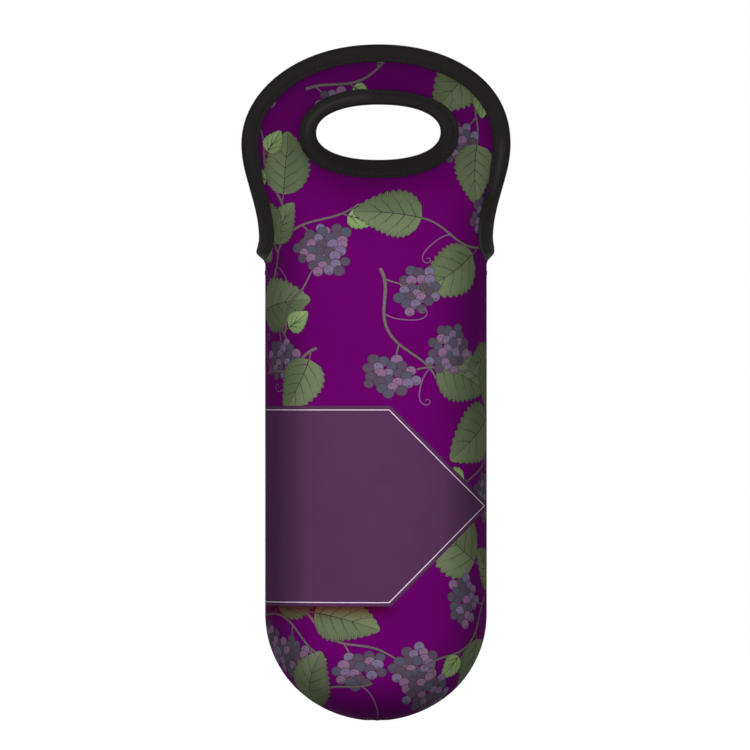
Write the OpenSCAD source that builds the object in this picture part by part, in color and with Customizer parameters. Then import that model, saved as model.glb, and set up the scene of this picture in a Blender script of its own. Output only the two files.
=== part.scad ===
// Soft single-bottle carrier: two foam-backed fabric panels joined down the sides and round the
// bottom, each running up into a flat handle with a bound edge and a bound hand hole.
// The pouch is drawn spread open, as a bottle spreads it. Front faces -Y, up is +Z, and the
// origin is on the floor under the middle of the rounded bottom.

/* [Pouch] */
// Width of the pouch across its side seams
body_w = 128; // [110:1:134]
// Depth of the pouch from front to back
body_d = 84; // [60:1:100]
// Height of the rounded bottom
bottom_h = 62; // [40:1:90]
// Length of the straight side seams above the rounded bottom
side_h = 204; // [150:1:260]

/* [Handles] */
// Width at the knee, where the binding turns out just above the side seam
knee_w = 138; // [136:1:150]
// Height of the knee above the side seam
knee_h = 6; // [4:0.5:9]
// Width at the waist, above the knee
waist_w = 136; // [134:1:150]
// Height of the waist above the knee
waist_h = 9; // [6:0.5:14]
// Width of the handle where it is widest
head_w = 156; // [150:1:190]
// Height of the widest place above the waist
flank_h = 53; // [40:1:70]
// Height of the rounded top above the widest place
dome_h = 58; // [48:1:80]
// Height from the top of the side seam to where the handle is flat
flat_h = 84; // [70:1:110]
// Height over which the edges turn from the side seam to the front
turn_h = 19; // [14:1:24]
// Free space between the two flat handles
head_gap = 4; // [3:0.5:10]

/* [Hand hole] */
// Clear width of the hand hole
hole_w = 72; // [60:1:84]
// Clear height of the hand hole
hole_h = 32; // [26:1:38]
// Height of the hand hole's centre above the side seam
hole_up = 75; // [70:1:82]

/* [Fabric] */
// Thickness of the printed outer fabric
face_t = 0.5; // [0.3:0.1:0.8]
// Thickness of the foam core
foam_t = 2.6; // [1.5:0.1:4]
// Thickness of the lining fabric
lining_t = 0.4; // [0.3:0.1:0.8]
// Width of the folded binding tape on each face
tape_w = 10; // [7:0.5:12]
// Thickness of the binding tape
tape_t = 0.9; // [0.5:0.1:1.2]
// Clearance where a handle bends against the pouch
bend_gap = 0.3; // [0.2:0.1:0.6]

/* [Stitching] */
// Distance from one stitch on the tape to the next
stitch_pitch = 6; // [4:0.5:10]
// Length of a stitch on the tape
stitch_len = 4; // [2:0.5:4]
// Distance from the edge of the tape to its stitches
stitch_in = 1.6; // [1:0.1:3]
// Width of the sewing thread
thread_w = 0.8; // [0.4:0.1:1.2]
// Thickness of the sewing thread
thread_t = 0.5; // [0.3:0.1:0.8]
// Distance from one turn of the seam's zigzag to the next
zigzag_pitch = 8; // [5:0.5:12]
// Distance that the zigzag reaches to each side of the seam
zigzag_reach = 3; // [2:0.5:4]
// Length of each bar tack across the top of a seam
tack_len = 9; // [6:1:12]
// Height of each bar tack
tack_h = 2.5; // [1.5:0.5:4]
// Distance of each bar tack below the top of the seam
tack_drop = 5; // [4:0.5:10]

/* [Hidden] */
// Roundness of the pouch: half is an ellipse, one is a pointed lens
belly_power = 0.62;
rim_power = 0.8;
flat_power = 1;
// Squareness of the outlines: two is an ellipse
dome_power = 2.1;
hole_power = 2.2;
// Share of the straight height over which the pouch takes the shape of its mouth
mouth_share = 0.42;
// Share of the thread that is drawn down into the fabric
sunk_share = 0.3;
// Shares of the thickness at which the tape's fold turns
fold_shares = [0.25, 0.75];
// Shares of the way over the handle, from the hole's tape to the edge's tape
middle_shares = [1 / 3, 2 / 3];

// How finely the curved sheets are drawn
across_steps = 12;
bottom_steps = 8;
side_steps = 4;
knee_steps = 2;
waist_steps = 2;
flank_steps = 4;
dome_steps = 7;
zigzag_bottom_steps = 25;

sheet_t = face_t + foam_t + lining_t;
seam_top = bottom_h + side_h;
knee_z = seam_top + knee_h;
waist_z = knee_z + waist_h;
widest_z = waist_z + flank_h;
hole_z = seam_top + hole_up;
pouch_top = seam_top - bend_gap / 2;
handle_foot = seam_top + bend_gap / 2;
// Half widths of the cut panel, inside the tape's fold
seam_half = body_w / 2;
knee_half = knee_w / 2 - tape_t;
waist_half = waist_w / 2 - tape_t;
widest_half = head_w / 2 - tape_t;
dome_rise = dome_h - tape_t;
// Distance of a handle's outer face from the middle plane, at its foot and where it is flat
foot_out = tape_t + bend_gap;
flat_out = sheet_t + head_gap / 2;
leaf_w = tape_w - tape_t;

purple = "#640064";
black = "#242024";
foam_grey = "#2c2a2e";
thread_black = "#161418";

// Smooth rise from 0 to 1
function ramp(t) = let (u = max(0, min(1, t))) u * u * (3 - 2 * u);

function blend(a, b, share) = a + (b - a) * share;

// Power that rounds the section of the pouch at height z
function pouch_power(z) =
    blend(belly_power, rim_power, ramp(1 - (seam_top - z) / (side_h * mouth_share)));

// Half width and half depth of the pouch shrink to nothing towards the pole of the bottom.
// row runs from 0 at the pole to 1 at the top of the bottom, and on to 2 at the mouth.
function row_z(row, depth) = row < 1
    ? bottom_h - (bottom_h - depth) * cos(90 * row)
    : blend(bottom_h, pouch_top, row - 1);
function row_scale(row) = row < 1 ? sin(90 * row) : 1;

// Point on the front of the pouch, turn degrees round from the middle, depth inside the face
function pouch_point(turn, row, depth) =
    let (z = row_z(row, depth), s = row_scale(row), round_y = pow(cos(turn), 2 * pouch_power(z)))
    [(body_w / 2 - depth) * s * sin(turn), -(body_d / 2 - depth) * s * round_y, z];

// Point beside the side seam that side_sign names, at most y away from it, on the flat of the
// pouch's net between the seam and the next row of its points
function beside_seam(side_sign, y, row, depth) =
    let (next = pouch_point(90 - 180 / across_steps, row, depth),
        share = min(1, abs(y) / abs(next[1])))
    [side_sign * blend((body_w / 2 - depth) * row_scale(row), next[0], share),
        sign(y) * share * abs(next[1]), next[2]];

// The same between the rows of the bottom's net, which is straight from row to row
function seam_point(side_sign, y, row, depth) =
    let (step = floor(row * bottom_steps))
    row >= 1
    ? beside_seam(side_sign, y, row, depth)
    : blend(beside_seam(side_sign, y, step / bottom_steps, depth),
        beside_seam(side_sign, y, (step + 1) / bottom_steps, depth), row * bottom_steps - step);

// Half width of the cut panel in the handle at height z
function handle_half(z) = z < knee_z
    ? blend(seam_half, knee_half, sin(90 * (z - seam_top) / knee_h))
    : z < waist_z
    ? blend(knee_half, waist_half, ramp((z - knee_z) / waist_h))
    : blend(waist_half, widest_half, ramp((z - waist_z) / flank_h));

// Point on the front handle that the photograph's plane shows at x and z, depth inside the face
function handle_point(p, depth) =
    let (z = p[1], half = handle_half(z),
        turned = ramp((z - seam_top) / turn_h),
        out = blend(foot_out, flat_out, turned),
        middle_out = blend(body_d / 2, flat_out, ramp((z - seam_top) / flat_h)),
        power = blend(rim_power, flat_power, turned),
        share = min(1, abs(p[0]) / half),
        bulge = pow(1 - share * share, power))
    [p[0] * (1 - (1 - turned) * depth / half),
        -(out + (middle_out - out - (1 - turned) * depth) * bulge) + turned * depth, z];

function unit(v) = v / norm(v);

// Cut edge of the handle, from the foot on the right over the top to the foot on the left
right_edge = concat(
    [[seam_half, handle_foot]],
    [for (i = [1:knee_steps]) let (z = seam_top + knee_h * i / knee_steps) [handle_half(z), z]],
    [for (i = [1:waist_steps]) let (z = knee_z + waist_h * i / waist_steps) [handle_half(z), z]],
    [for (i = [1:flank_steps]) let (z = waist_z + flank_h * i / flank_steps) [handle_half(z), z]],
    [for (i = [1:dome_steps - 1]) let (t = 90 * i / dome_steps)
        [widest_half * pow(cos(t), 2 / dome_power),
            widest_z + dome_rise * pow(sin(t), 2 / dome_power)]]);
edge = concat(right_edge, [[0, widest_z + dome_rise]],
    [for (i = [len(right_edge) - 1:-1:0]) [-right_edge[i][0], right_edge[i][1]]]);
edge_last = len(edge) - 1;

// Direction out of the panel at each point of the cut edge
edge_out = [for (i = [0:edge_last])
    let (along = edge[min(i + 1, edge_last)] - edge[max(i - 1, 0)]) unit([along[1], -along[0]])];

// Points at a distance inside the cut edge
function inside_edge(distance) = [for (i = [0:edge_last]) edge[i] - edge_out[i] * distance];
tape_line = inside_edge(leaf_w);

// The foot of the handle, from left to right, and the line above it that joins the tape's ends
foot_turns = [for (i = [1:across_steps - 1]) -90 + 180 * i / across_steps];
foot = [for (turn = foot_turns) [seam_half * sin(turn), handle_foot]];
foot_line = [for (turn = foot_turns) [tape_line[0][0] * sin(turn), tape_line[0][1]]];

handle_rim = concat(edge, foot);
handle_line = concat(tape_line, foot_line);

// Outline of the hand hole, grown by a distance, towards the point p
function hole_point(p, grow) =
    let (a = hole_w / 2 + tape_t + grow, b = hole_h / 2 + tape_t + grow,
        turn = atan2(p[1] - hole_z, p[0]),
        reach = pow(pow(abs(cos(turn)) / a, hole_power) + pow(abs(sin(turn)) / b, hole_power),
            -1 / hole_power))
    [reach * cos(turn), hole_z + reach * sin(turn)];

// Net of the handle: each row runs from the hole out to the rim
handle_net = [for (i = [0:len(handle_rim) - 1])
    let (line = handle_line[i], ring = hole_point(line, leaf_w))
    concat([hole_point(line, 0), ring],
        [for (share = middle_shares) blend(ring, line, share)],
        [line, handle_rim[i]])];

// Section of the folded tape: distance inside the edge and depth, outside and inside the fold
fold_out = concat([[leaf_w, -tape_t], [0, -tape_t]],
    [for (share = fold_shares) [-tape_t, sheet_t * share]],
    [[0, sheet_t + tape_t], [leaf_w, sheet_t + tape_t]]);
fold_in = concat([[leaf_w, 0], [0, 0]],
    [for (share = fold_shares) [0, sheet_t * share]],
    [[0, sheet_t], [leaf_w, sheet_t]]);

// Point of the edge tape. At the foot its fold faces the other handle, higher up it faces out.
function edge_tape_point(i, section) =
    let (inward = max(0, section[0]), outward = max(0, -section[0]),
        turned = ramp((edge[i][1] - seam_top) / turn_h), way = edge_out[i] * turned)
    handle_point(edge[i] - edge_out[i] * inward, section[1])
        + outward * [way[0], 1 - turned, way[1]];

function hole_tape_point(i, section) =
    handle_point(hole_point(handle_line[i], section[0]), section[1]);

// Closed solid between two nets of points with the same rows and columns. A ring joins its last
// row to its first. A pole makes the first column of every row one point. The quads of a crossed
// column are split the other way, so that a leaf of tape lies on the sheet's own triangles.
module between(outer, inner, ring = false, pole = false, crossed = []) {
    rows = len(outer);
    columns = len(outer[0]);
    size = rows * columns;
    spans = ring ? rows : rows - 1;
    function id(side, r, c) = side * size + (pole && c == 0 ? 0 : (r % rows) * columns + c);
    function quad(a, b, c, d) = [[a, b, c], [a, c, d]];
    function leaf(column, a, b, c, d) =
        len(search(column, crossed)) > 0 ? quad(b, c, d, a) : quad(a, b, c, d);
    faces = concat(
        [for (r = [0:spans - 1], c = [0:columns - 2])
            each leaf(c, id(0, r, c), id(0, r + 1, c), id(0, r + 1, c + 1), id(0, r, c + 1))],
        [for (r = [0:spans - 1], c = [0:columns - 2])
            each leaf(c, id(1, r, c), id(1, r, c + 1), id(1, r + 1, c + 1), id(1, r + 1, c))],
        [for (r = [0:spans - 1])
            each quad(id(0, r, 0), id(1, r, 0), id(1, r + 1, 0), id(0, r + 1, 0))],
        [for (r = [0:spans - 1]) let (c = columns - 1)
            each quad(id(0, r, c), id(0, r + 1, c), id(1, r + 1, c), id(1, r, c))],
        ring ? [] : [for (c = [0:columns - 2])
            each quad(id(0, 0, c), id(0, 0, c + 1), id(1, 0, c + 1), id(1, 0, c))],
        ring ? [] : [for (c = [0:columns - 2]) let (r = rows - 1)
            each quad(id(0, r, c), id(1, r, c), id(1, r, c + 1), id(0, r, c + 1))]);
    polyhedron(
        points = concat([for (row = outer) each row], [for (row = inner) each row]),
        faces = [for (f = faces) if (f[0] != f[1] && f[1] != f[2] && f[2] != f[0]) f]);
}

// Rows of the pouch from the pole to the mouth
pouch_rows = concat([for (i = [0:bottom_steps]) i / bottom_steps],
    [2 - mouth_share],
    [for (i = [1:side_steps]) 2 - mouth_share * (1 - i / side_steps)]);

function pouch_net(depth) = [for (i = [across_steps:-1:0]) [for (row = pouch_rows)
    let (turn = -90 + 180 * i / across_steps)
    // The ends of each row lie exactly in the plane of the seam
    i % across_steps == 0
        ? let (p = pouch_point(turn, row, depth)) [p[0], 0, p[2]]
        : pouch_point(turn, row, depth)]];

function handle_layer(depth) = [for (row = handle_net) [for (p = row) handle_point(p, depth)]];

// One layer of the front pouch between two depths
module body_layer(from, to) {
    between(pouch_net(from), pouch_net(to), pole = true);
}

// One layer of the front handle between two depths
module handle_sheet(from, to) {
    between(handle_layer(from), handle_layer(to), ring = true);
}

module edge_binding() {
    color(black) between(
        [for (i = [0:edge_last]) [for (s = fold_out) edge_tape_point(i, s)]],
        [for (i = [0:edge_last]) [for (s = fold_in) edge_tape_point(i, s)]],
        crossed = [len(fold_in) - 2]);
}

module hole_binding() {
    color(black) between(
        [for (i = [0:len(handle_rim) - 1]) [for (s = fold_in) hole_tape_point(i, s)]],
        [for (i = [0:len(handle_rim) - 1]) [for (s = fold_out) hole_tape_point(i, s)]],
        ring = true, crossed = [0]);
}

// Straight piece of thread from a to b, lying flat on a surface whose way out is up
module thread(a, b, up) {
    ahead = unit(b - a);
    side = unit(cross(up, ahead));
    top = cross(ahead, side);
    size = [norm(b - a), thread_w, thread_t];
    multmatrix([
        [ahead[0], side[0], top[0], (a[0] + b[0]) / 2],
        [ahead[1], side[1], top[1], (a[1] + b[1]) / 2],
        [ahead[2], side[2], top[2], (a[2] + b[2]) / 2],
        [0, 0, 0, 1]])
        cube(size, center = true);
}

function path_length(path, i = 0) =
    i >= len(path) - 1 ? 0 : norm(path[i + 1] - path[i]) + path_length(path, i + 1);
function along(path, distance, i = 0) =
    let (step = norm(path[i + 1] - path[i]))
    distance <= step || i >= len(path) - 2
        ? path[i] + (path[i + 1] - path[i]) * distance / step
        : along(path, distance - step, i + 1);

// Row of stitches on the outer face of the tape, along a path in the photograph's plane
module stitch_row(path) {
    count = floor(path_length(path) / stitch_pitch);
    pitch = path_length(path) / count;
    lift = -tape_t - thread_t * (1 / 2 - sunk_share);
    color(thread_black) for (i = [0:count - 1]) {
        a = along(path, (i + 1 / 2) * pitch - stitch_len / 2);
        b = along(path, (i + 1 / 2) * pitch + stitch_len / 2);
        beside = (a + b) / 2 + [a[1] - b[1], b[0] - a[0]];
        p = handle_point(a, lift);
        q = handle_point(b, lift);
        thread(p, q, cross(handle_point(beside, lift) - (p + q) / 2, q - p));
    }
}

module edge_stitches() {
    stitch_row(inside_edge(leaf_w - stitch_in));
}

module hole_stitches() {
    ring = [for (p = handle_line) hole_point(p, leaf_w - stitch_in)];
    stitch_row(concat(ring, [ring[0]]));
}

// Zigzag inside the pouch that holds the two cut edges together
zigzag_side_steps = floor(side_h / zigzag_pitch);
zigzag_rows = concat(
    [for (i = [zigzag_side_steps - 1:-1:0]) [1, 1 + i / zigzag_side_steps]],
    [for (i = [1:zigzag_bottom_steps])
        let (turn = 1 - 2 * i / (zigzag_bottom_steps + 1)) [sign(turn), abs(turn)]],
    [for (i = [0:zigzag_side_steps - 1]) [-1, 1 + i / zigzag_side_steps]]);
zigzag = [for (i = [0:len(zigzag_rows) - 1]) let (row = zigzag_rows[i])
    if (row[1] > 0)
    seam_point(row[0], (i % 2 == 0 ? 1 : -1) * zigzag_reach, row[1],
        sheet_t + thread_t * (1 / 2 - sunk_share))];

module seam_thread() {
    color(thread_black) for (i = [0:len(zigzag) - 2])
        thread(zigzag[i], zigzag[i + 1],
            [-zigzag[i][0], 0, max(0, bottom_h - zigzag[i][2])]);
}

// Thick stitch across the top of a side seam
module bar_tack(side_sign) {
    function tack_row(depth) = [for (drop = [0, tack_h]) [for (step = [-2:2])
        let (row = 2 - (tack_drop + drop) / side_h)
        seam_point(side_sign, step * tack_len / 4, row, depth)]];
    color(thread_black)
        if (side_sign > 0) between(tack_row(0), tack_row(-thread_t));
        else between(tack_row(-thread_t), tack_row(0));
}

module back() {
    rotate([0, 0, 180]) children();
}

module body_face() { color(purple) body_layer(0, face_t); }
module body_foam() { color(foam_grey) body_layer(face_t, face_t + foam_t); }
module body_lining() { color(black) body_layer(face_t + foam_t, sheet_t); }
module handle_face() { color(purple) handle_sheet(0, face_t); }
module handle_foam() { color(foam_grey) handle_sheet(face_t, face_t + foam_t); }
module handle_lining() { color(black) handle_sheet(face_t + foam_t, sheet_t); }

body_face();  // front_body_face
body_foam();  // front_body_foam
body_lining();  // front_body_lining
back() body_face();  // back_body_face
back() body_foam();  // back_body_foam
back() body_lining();  // back_body_lining
seam_thread();
bar_tack(-1);  // left_bar_tack
bar_tack(1);  // right_bar_tack
handle_face();  // front_handle_face
handle_foam();  // front_handle_foam
handle_lining();  // front_handle_lining
edge_binding();  // front_edge_binding
hole_binding();  // front_hole_binding
edge_stitches();  // front_edge_stitches
hole_stitches();  // front_hole_stitches
back() handle_face();  // back_handle_face
back() handle_foam();  // back_handle_foam
back() handle_lining();  // back_handle_lining
back() edge_binding();  // back_edge_binding
back() hole_binding();  // back_hole_binding
back() edge_stitches();  // back_edge_stitches
back() hole_stitches();  // back_hole_stitches
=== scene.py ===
import math

import bpy
import numpy as np
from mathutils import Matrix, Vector
from mathutils.geometry import delaunay_2d_cdt

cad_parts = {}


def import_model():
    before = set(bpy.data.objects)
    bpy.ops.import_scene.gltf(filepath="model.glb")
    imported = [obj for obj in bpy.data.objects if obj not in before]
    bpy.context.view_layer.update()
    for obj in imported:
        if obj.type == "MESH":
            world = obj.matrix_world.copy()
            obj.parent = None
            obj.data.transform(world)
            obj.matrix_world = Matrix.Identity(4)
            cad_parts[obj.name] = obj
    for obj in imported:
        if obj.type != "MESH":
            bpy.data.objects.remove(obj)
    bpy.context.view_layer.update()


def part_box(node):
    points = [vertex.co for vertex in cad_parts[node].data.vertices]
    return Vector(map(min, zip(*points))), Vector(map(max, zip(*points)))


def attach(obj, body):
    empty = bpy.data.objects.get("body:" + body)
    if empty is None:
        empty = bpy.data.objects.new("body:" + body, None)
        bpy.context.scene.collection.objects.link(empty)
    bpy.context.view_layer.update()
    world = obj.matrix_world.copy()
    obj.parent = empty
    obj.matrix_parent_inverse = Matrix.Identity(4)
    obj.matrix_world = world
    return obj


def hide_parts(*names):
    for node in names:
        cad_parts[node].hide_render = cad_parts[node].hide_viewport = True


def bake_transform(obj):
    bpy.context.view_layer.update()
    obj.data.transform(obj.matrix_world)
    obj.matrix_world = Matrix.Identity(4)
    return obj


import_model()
MM = 0.001
LOW, HIGH = 0, 1
ACROSS, DEEP, UP = 0, 1, 2


def frame_size(node, corner, axis):
    """A corner's coordinate of a node of the frame, in millimetres."""
    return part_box(node)[corner][axis] / MM


# Sizes of the panels in millimetres, from the frame where it shows them
BODY_HALF = frame_size("front_body_face", HIGH, ACROSS)
BODY_DEEP = -frame_size("front_body_face", LOW, DEEP)
SEAM_TOP = (frame_size("front_body_face", HIGH, UP) + frame_size("front_handle_face", LOW, UP)) / 2
PANEL_TOP = frame_size("front_handle_face", HIGH, UP)
WIDEST_HALF = frame_size("front_handle_face", HIGH, ACROSS)
TAPE_T = frame_size("front_edge_binding", HIGH, UP) - PANEL_TOP
HOLE_Z = (frame_size("front_hole_binding", LOW, UP)
          + frame_size("front_hole_binding", HIGH, UP)) / 2
# Heights of the rounded bottom, and above the seam of the foot's knee and waist and of the flank
BOTTOM_H = 62.0
SIDE_H = SEAM_TOP - BOTTOM_H
KNEE_H, WAIST_H, FLANK_H = 6.0, 9.0, 53.0
KNEE_Z = SEAM_TOP + KNEE_H
WAIST_Z = KNEE_Z + WAIST_H
WIDEST_Z = WAIST_Z + FLANK_H
KNEE_HALF = 69.0 - TAPE_T
WAIST_HALF = 68.0 - TAPE_T
# The panel is flat this far above the seam, and its layers have turned to face front sooner
FLAT_H, TURN_H = 84.0, 19.0
# Half axes of the hand hole in the cloth, and how far the folded tape reaches in over it
HOLE_A, HOLE_B = 36.0 + TAPE_T, 16.0 + TAPE_T
LEAF_W = 10.0 - TAPE_T
FACE_T, FOAM_T, LINING_T = 0.5, 2.6, 0.4
SHEET_T = FACE_T + FOAM_T + LINING_T
# Two layers lie this much apart, so that they don't share a surface
PARTED = 0.05
# How far in front of the middle a handle's face stands, at its foot's edge and where it is flat
FOOT_OUT, FLAT_OUT = 1.2, SHEET_T + 2.0
# Powers of the rounded forms, and the share of the pouch's side over which its mouth opens
BELLY_POWER, RIM_POWER = 0.62, 0.8
DOME_POWER, HOLE_POWER = 2.1, 2.2
MOUTH_SHARE = 0.42
# Half of the flat panel's width where it wraps round the pouch
WRAP_HALF = 84.0


# ---- Lines ----

def ramp(t):
    """Smooth rise from 0 to 1."""
    t = np.clip(t, 0, 1)
    return t * t * (3 - 2 * t)


def zone(at, start, end, rise, fall):
    """1 between two places, with a smooth rise from the first and a fall to the second."""
    return ramp((at - start) / rise) * ramp((end - at) / fall)


def mix(a, b, share):
    return a + (b - a) * share


def pair(a, b):
    """Two rows of numbers as points of a plane."""
    return np.stack([a, b], axis=1)


def unit(steps):
    """Steps made one long."""
    return steps / np.maximum(np.linalg.norm(steps, axis=1, keepdims=True), 1e-9)


def run_along(line):
    """How far along a line each of its points lies."""
    return np.concatenate([[0], np.cumsum(np.linalg.norm(np.diff(line, axis=0), axis=1))])


def points_at(places, run, line):
    """Points of a line at places between those of run."""
    return np.stack([np.interp(places, run, line[:, i]) for i in range(line.shape[1])], axis=1)


def spaced(line, step, closed=False):
    """Points evenly along a line, about step apart."""
    line = np.asarray(line, float)
    if closed:
        line = np.vstack([line, line[:1]])
    run = run_along(line)
    places = np.linspace(0, run[-1], max(2, round(run[-1] / step)) + 1)
    return points_at(places[:-1] if closed else places, run, line)


def spaced_sides(corners, step):
    """Points round a shape with corners, about step apart on each side."""
    sides = zip(corners, np.roll(corners, -1, axis=0))
    return np.vstack([spaced(np.array(side), step)[:-1] for side in sides])


def distance_to(points, line):
    """Distance from each point to the nearest point of a closely spaced line."""
    near = np.empty(len(points))
    for start in range(0, len(points), 3000):
        part = points[start:start + 3000]
        near[start:start + 3000] = np.sqrt(((part[:, None] - line[None]) ** 2).sum(2).min(1))
    return near


def signed_area(line):
    """The area in a closed line, below 0 if it runs clockwise."""
    x, z = line.T
    return (np.dot(x, np.roll(z, -1)) - np.dot(z, np.roll(x, -1))) / 2


# ---- The panel's form: from the flat cut piece to the sewn bag ----

def bottom_drop(z):
    """1 at the pole of the rounded bottom, 0 at its top and above."""
    return np.clip((BOTTOM_H - z) / BOTTOM_H, 0, 1)


def bottom_scale(z):
    """How far the rounded bottom has opened at height z, from 0 at its pole to 1."""
    return np.sqrt(1 - bottom_drop(z) * bottom_drop(z))


def handle_half(z):
    """Half width of the cut panel at height z, above the side seam."""
    knee = mix(BODY_HALF, KNEE_HALF, np.clip((z - SEAM_TOP) / KNEE_H, 0, 1))
    waist = mix(KNEE_HALF, WAIST_HALF, ramp((z - KNEE_Z) / WAIST_H))
    flank = mix(WAIST_HALF, WIDEST_HALF, ramp((z - WAIST_Z) / FLANK_H))
    return np.where(z < KNEE_Z, knee, np.where(z < WAIST_Z, waist, flank))


def flatness(z):
    """0 where the panel wraps round the pouch, 1 where the handle is flat."""
    return ramp((z - SEAM_TOP) / FLAT_H)


def seen_half(z):
    """Half width of the panel at height z in the front view."""
    return np.where(z < SEAM_TOP, BODY_HALF * bottom_scale(z), handle_half(z))


def cut_half(z):
    """Half width of the panel at height z, laid flat."""
    wrapped = (WRAP_HALF - BODY_HALF) * (1 - flatness(z))
    return np.where(z < SEAM_TOP, WRAP_HALF * bottom_scale(z), handle_half(z) + wrapped)


def seen_share(share, z):
    """Turns a share of the cut half width into a share of the half width in the front view."""
    flat = flatness(z)
    return (1 - flat) * np.sin(np.pi / 2 * share) + flat * share


def cut_share(target, z):
    """The reverse of seen_share, found in steps along its slope."""
    flat = flatness(z)
    share = np.array(target, float)
    for _ in range(14):
        miss = seen_share(share, z) - target
        slope = (1 - flat) * np.pi / 2 * np.cos(np.pi / 2 * share) + flat
        share = np.clip(share - miss / np.maximum(slope, 0.03), -1, 1)
    return share


def laid_flat(points):
    """Points of the front view, as x and z, on the flat panel."""
    x, z = points.T
    share = np.clip(x / np.maximum(seen_half(z), 1e-6), -1, 1)
    return pair(cut_share(share, z) * cut_half(z), z)


def front_view(points):
    """Points of the flat panel in the front view, as x and z."""
    x, z = points.T
    share = np.clip(x / np.maximum(cut_half(z), 1e-6), -1, 1)
    return pair(seen_share(share, z) * seen_half(z), z)


def hole_turn(points):
    """The direction of points of the front view from the hand hole's centre."""
    return np.arctan2(points[:, 1] - HOLE_Z, points[:, 0])


def hole_radius(points, grow=0.0):
    """Distance from the hand hole's centre to its outline, grown, in the direction of points."""
    turn = hole_turn(points)
    a, b = HOLE_A + grow, HOLE_B + grow
    powers = np.abs(np.cos(turn) / a) ** HOLE_POWER + np.abs(np.sin(turn) / b) ** HOLE_POWER
    return powers ** (-1 / HOLE_POWER)


def to_hole(points, grow=0.0):
    """How far outside the grown hand hole points of the front view lie."""
    return np.hypot(points[:, 0], points[:, 1] - HOLE_Z) - hole_radius(points, grow)


def round_hole(turn, reach=1.0):
    """Points at a distance from the hand hole's centre, in the front view."""
    return pair(reach * np.cos(turn), HOLE_Z + reach * np.sin(turn))


def handle_edge():
    """Right half of the handle's cut edge in the front view, from the side seam to the top."""
    rise = np.concatenate([np.linspace(SEAM_TOP, KNEE_Z, 6), np.linspace(KNEE_Z, WIDEST_Z, 48)[1:]])
    turn = np.linspace(0, np.pi / 2, 60)[1:]
    dome_x = WIDEST_HALF * np.maximum(np.cos(turn), 0) ** (2 / DOME_POWER)
    dome_z = WIDEST_Z + (PANEL_TOP - WIDEST_Z) * np.sin(turn) ** (2 / DOME_POWER)
    return np.vstack([pair(handle_half(rise), rise), pair(dome_x, dome_z)])


def pouch_edge():
    """Right half of the pouch's cut edge in the front view, from the pole to the seam's top."""
    turn = np.linspace(0, np.pi / 2, 40)
    bottom = pair(BODY_HALF * np.sin(turn), BOTTOM_H * (1 - np.cos(turn)))
    rise = np.linspace(BOTTOM_H, SEAM_TOP, 60)[1:-1]
    return np.vstack([bottom, pair(BODY_HALF + 0 * rise, rise)])


def both_sides(right):
    """A whole outline, anticlockwise, from its right half."""
    left = right[::-1][right[::-1, 0] > 1e-6] * (-1, 1)
    return np.vstack([right, left])


HANDLE_EDGE = spaced(both_sides(handle_edge())[:-1], 1.2)
SEEN_EDGE = spaced(both_sides(np.vstack([pouch_edge(), handle_edge()])), 1.6, closed=True)

# The seam draws the panels in, the cloth swells beside it but for the lowest part of the bottom,
# the tape presses the foam, and the cloth is never quite even
SEAM_DEEP, SEAM_REACH = 0.35, 1.7
SWELL, SWELL_REACH, SWELL_RISE = 0.5, 2.6, 24
SEWN_END, SEWN_FADE = SEAM_TOP + 4, 5
PRESS_DEEP, PRESS_REACH, PRESS_RISE = 0.4, 3.0, 14
UNEVEN, FINER_SHARE, UNEVEN_FROM = 0.25, 0.6, 16


def dent(flat, z):
    """How far the soft panel lies below its plain form."""
    view = front_view(pair(flat, z))
    to_seam = np.maximum(cut_half(z) - np.abs(flat), 0)
    sewn = SEAM_DEEP * np.exp(-to_seam / SEAM_REACH)
    sewn = sewn - SWELL * (1 - np.exp(-to_seam / SWELL_REACH)) * ramp(z / SWELL_RISE)
    sewn = sewn * ramp((SEWN_END - z) / SEWN_FADE)
    above = ramp((z - SEAM_TOP) / PRESS_RISE)
    to_tape = np.full(len(z), 50.0)
    handle = z > SEAM_TOP - 20
    to_tape[handle] = np.maximum(distance_to(view[handle], HANDLE_EDGE) - LEAF_W, 0)
    to_ring = np.maximum(to_hole(view, LEAF_W), 0)
    pressed = PRESS_DEEP * above * (np.exp(-to_tape / PRESS_REACH) + np.exp(-to_ring / PRESS_REACH))
    calm = ramp(np.minimum(to_seam, to_ring) / UNEVEN_FROM)
    uneven = np.sin(flat / 17 + z / 61 + 0.6) * np.sin(z / 29 + 1.1)
    finer = np.sin(flat / 9.5 - z / 15 + 2.0) * np.sin(z / 41 - flat / 33)
    return sewn + pressed + UNEVEN * calm * (uneven + FINER_SHARE * finer)


def surface(flat, z, depth):
    """Points of the front panel, from places on the flat panel and a depth below its face."""
    share = np.clip(flat / np.maximum(cut_half(z), 1e-6), -1, 1)
    across = seen_share(share, z)
    rest = np.clip(1 - across * across, 0, 1)
    scale = bottom_scale(z)
    power = mix(BELLY_POWER, RIM_POWER, ramp(1 - (SEAM_TOP - z) / (SIDE_H * MOUTH_SHARE)))
    pouch = np.stack([(BODY_HALF - depth) * scale * across,
                      -(BODY_DEEP - depth) * scale * rest ** power,
                      np.where(z < BOTTOM_H, BOTTOM_H - (BOTTOM_H - depth) * bottom_drop(z), z)],
                     axis=-1)
    turned = ramp((z - SEAM_TOP) / TURN_H)
    out = FOOT_OUT * ramp((z - SEAM_TOP) / KNEE_H) + (FLAT_OUT - FOOT_OUT) * turned
    middle = mix(BODY_DEEP, FLAT_OUT, flatness(z))
    bulge = rest ** mix(RIM_POWER, 1.0, turned)
    handle = np.stack([across * (handle_half(z) - (1 - turned) * depth),
                       -(out + (middle - out - (1 - turned) * depth) * bulge) + turned * depth,
                       z + 0 * depth], axis=-1)
    return np.where((z < SEAM_TOP)[..., None], pouch, handle)


def soft_surface(flat, z, depth):
    """The same with the panel's dents."""
    return surface(flat, z, depth + dent(flat, z))


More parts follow.
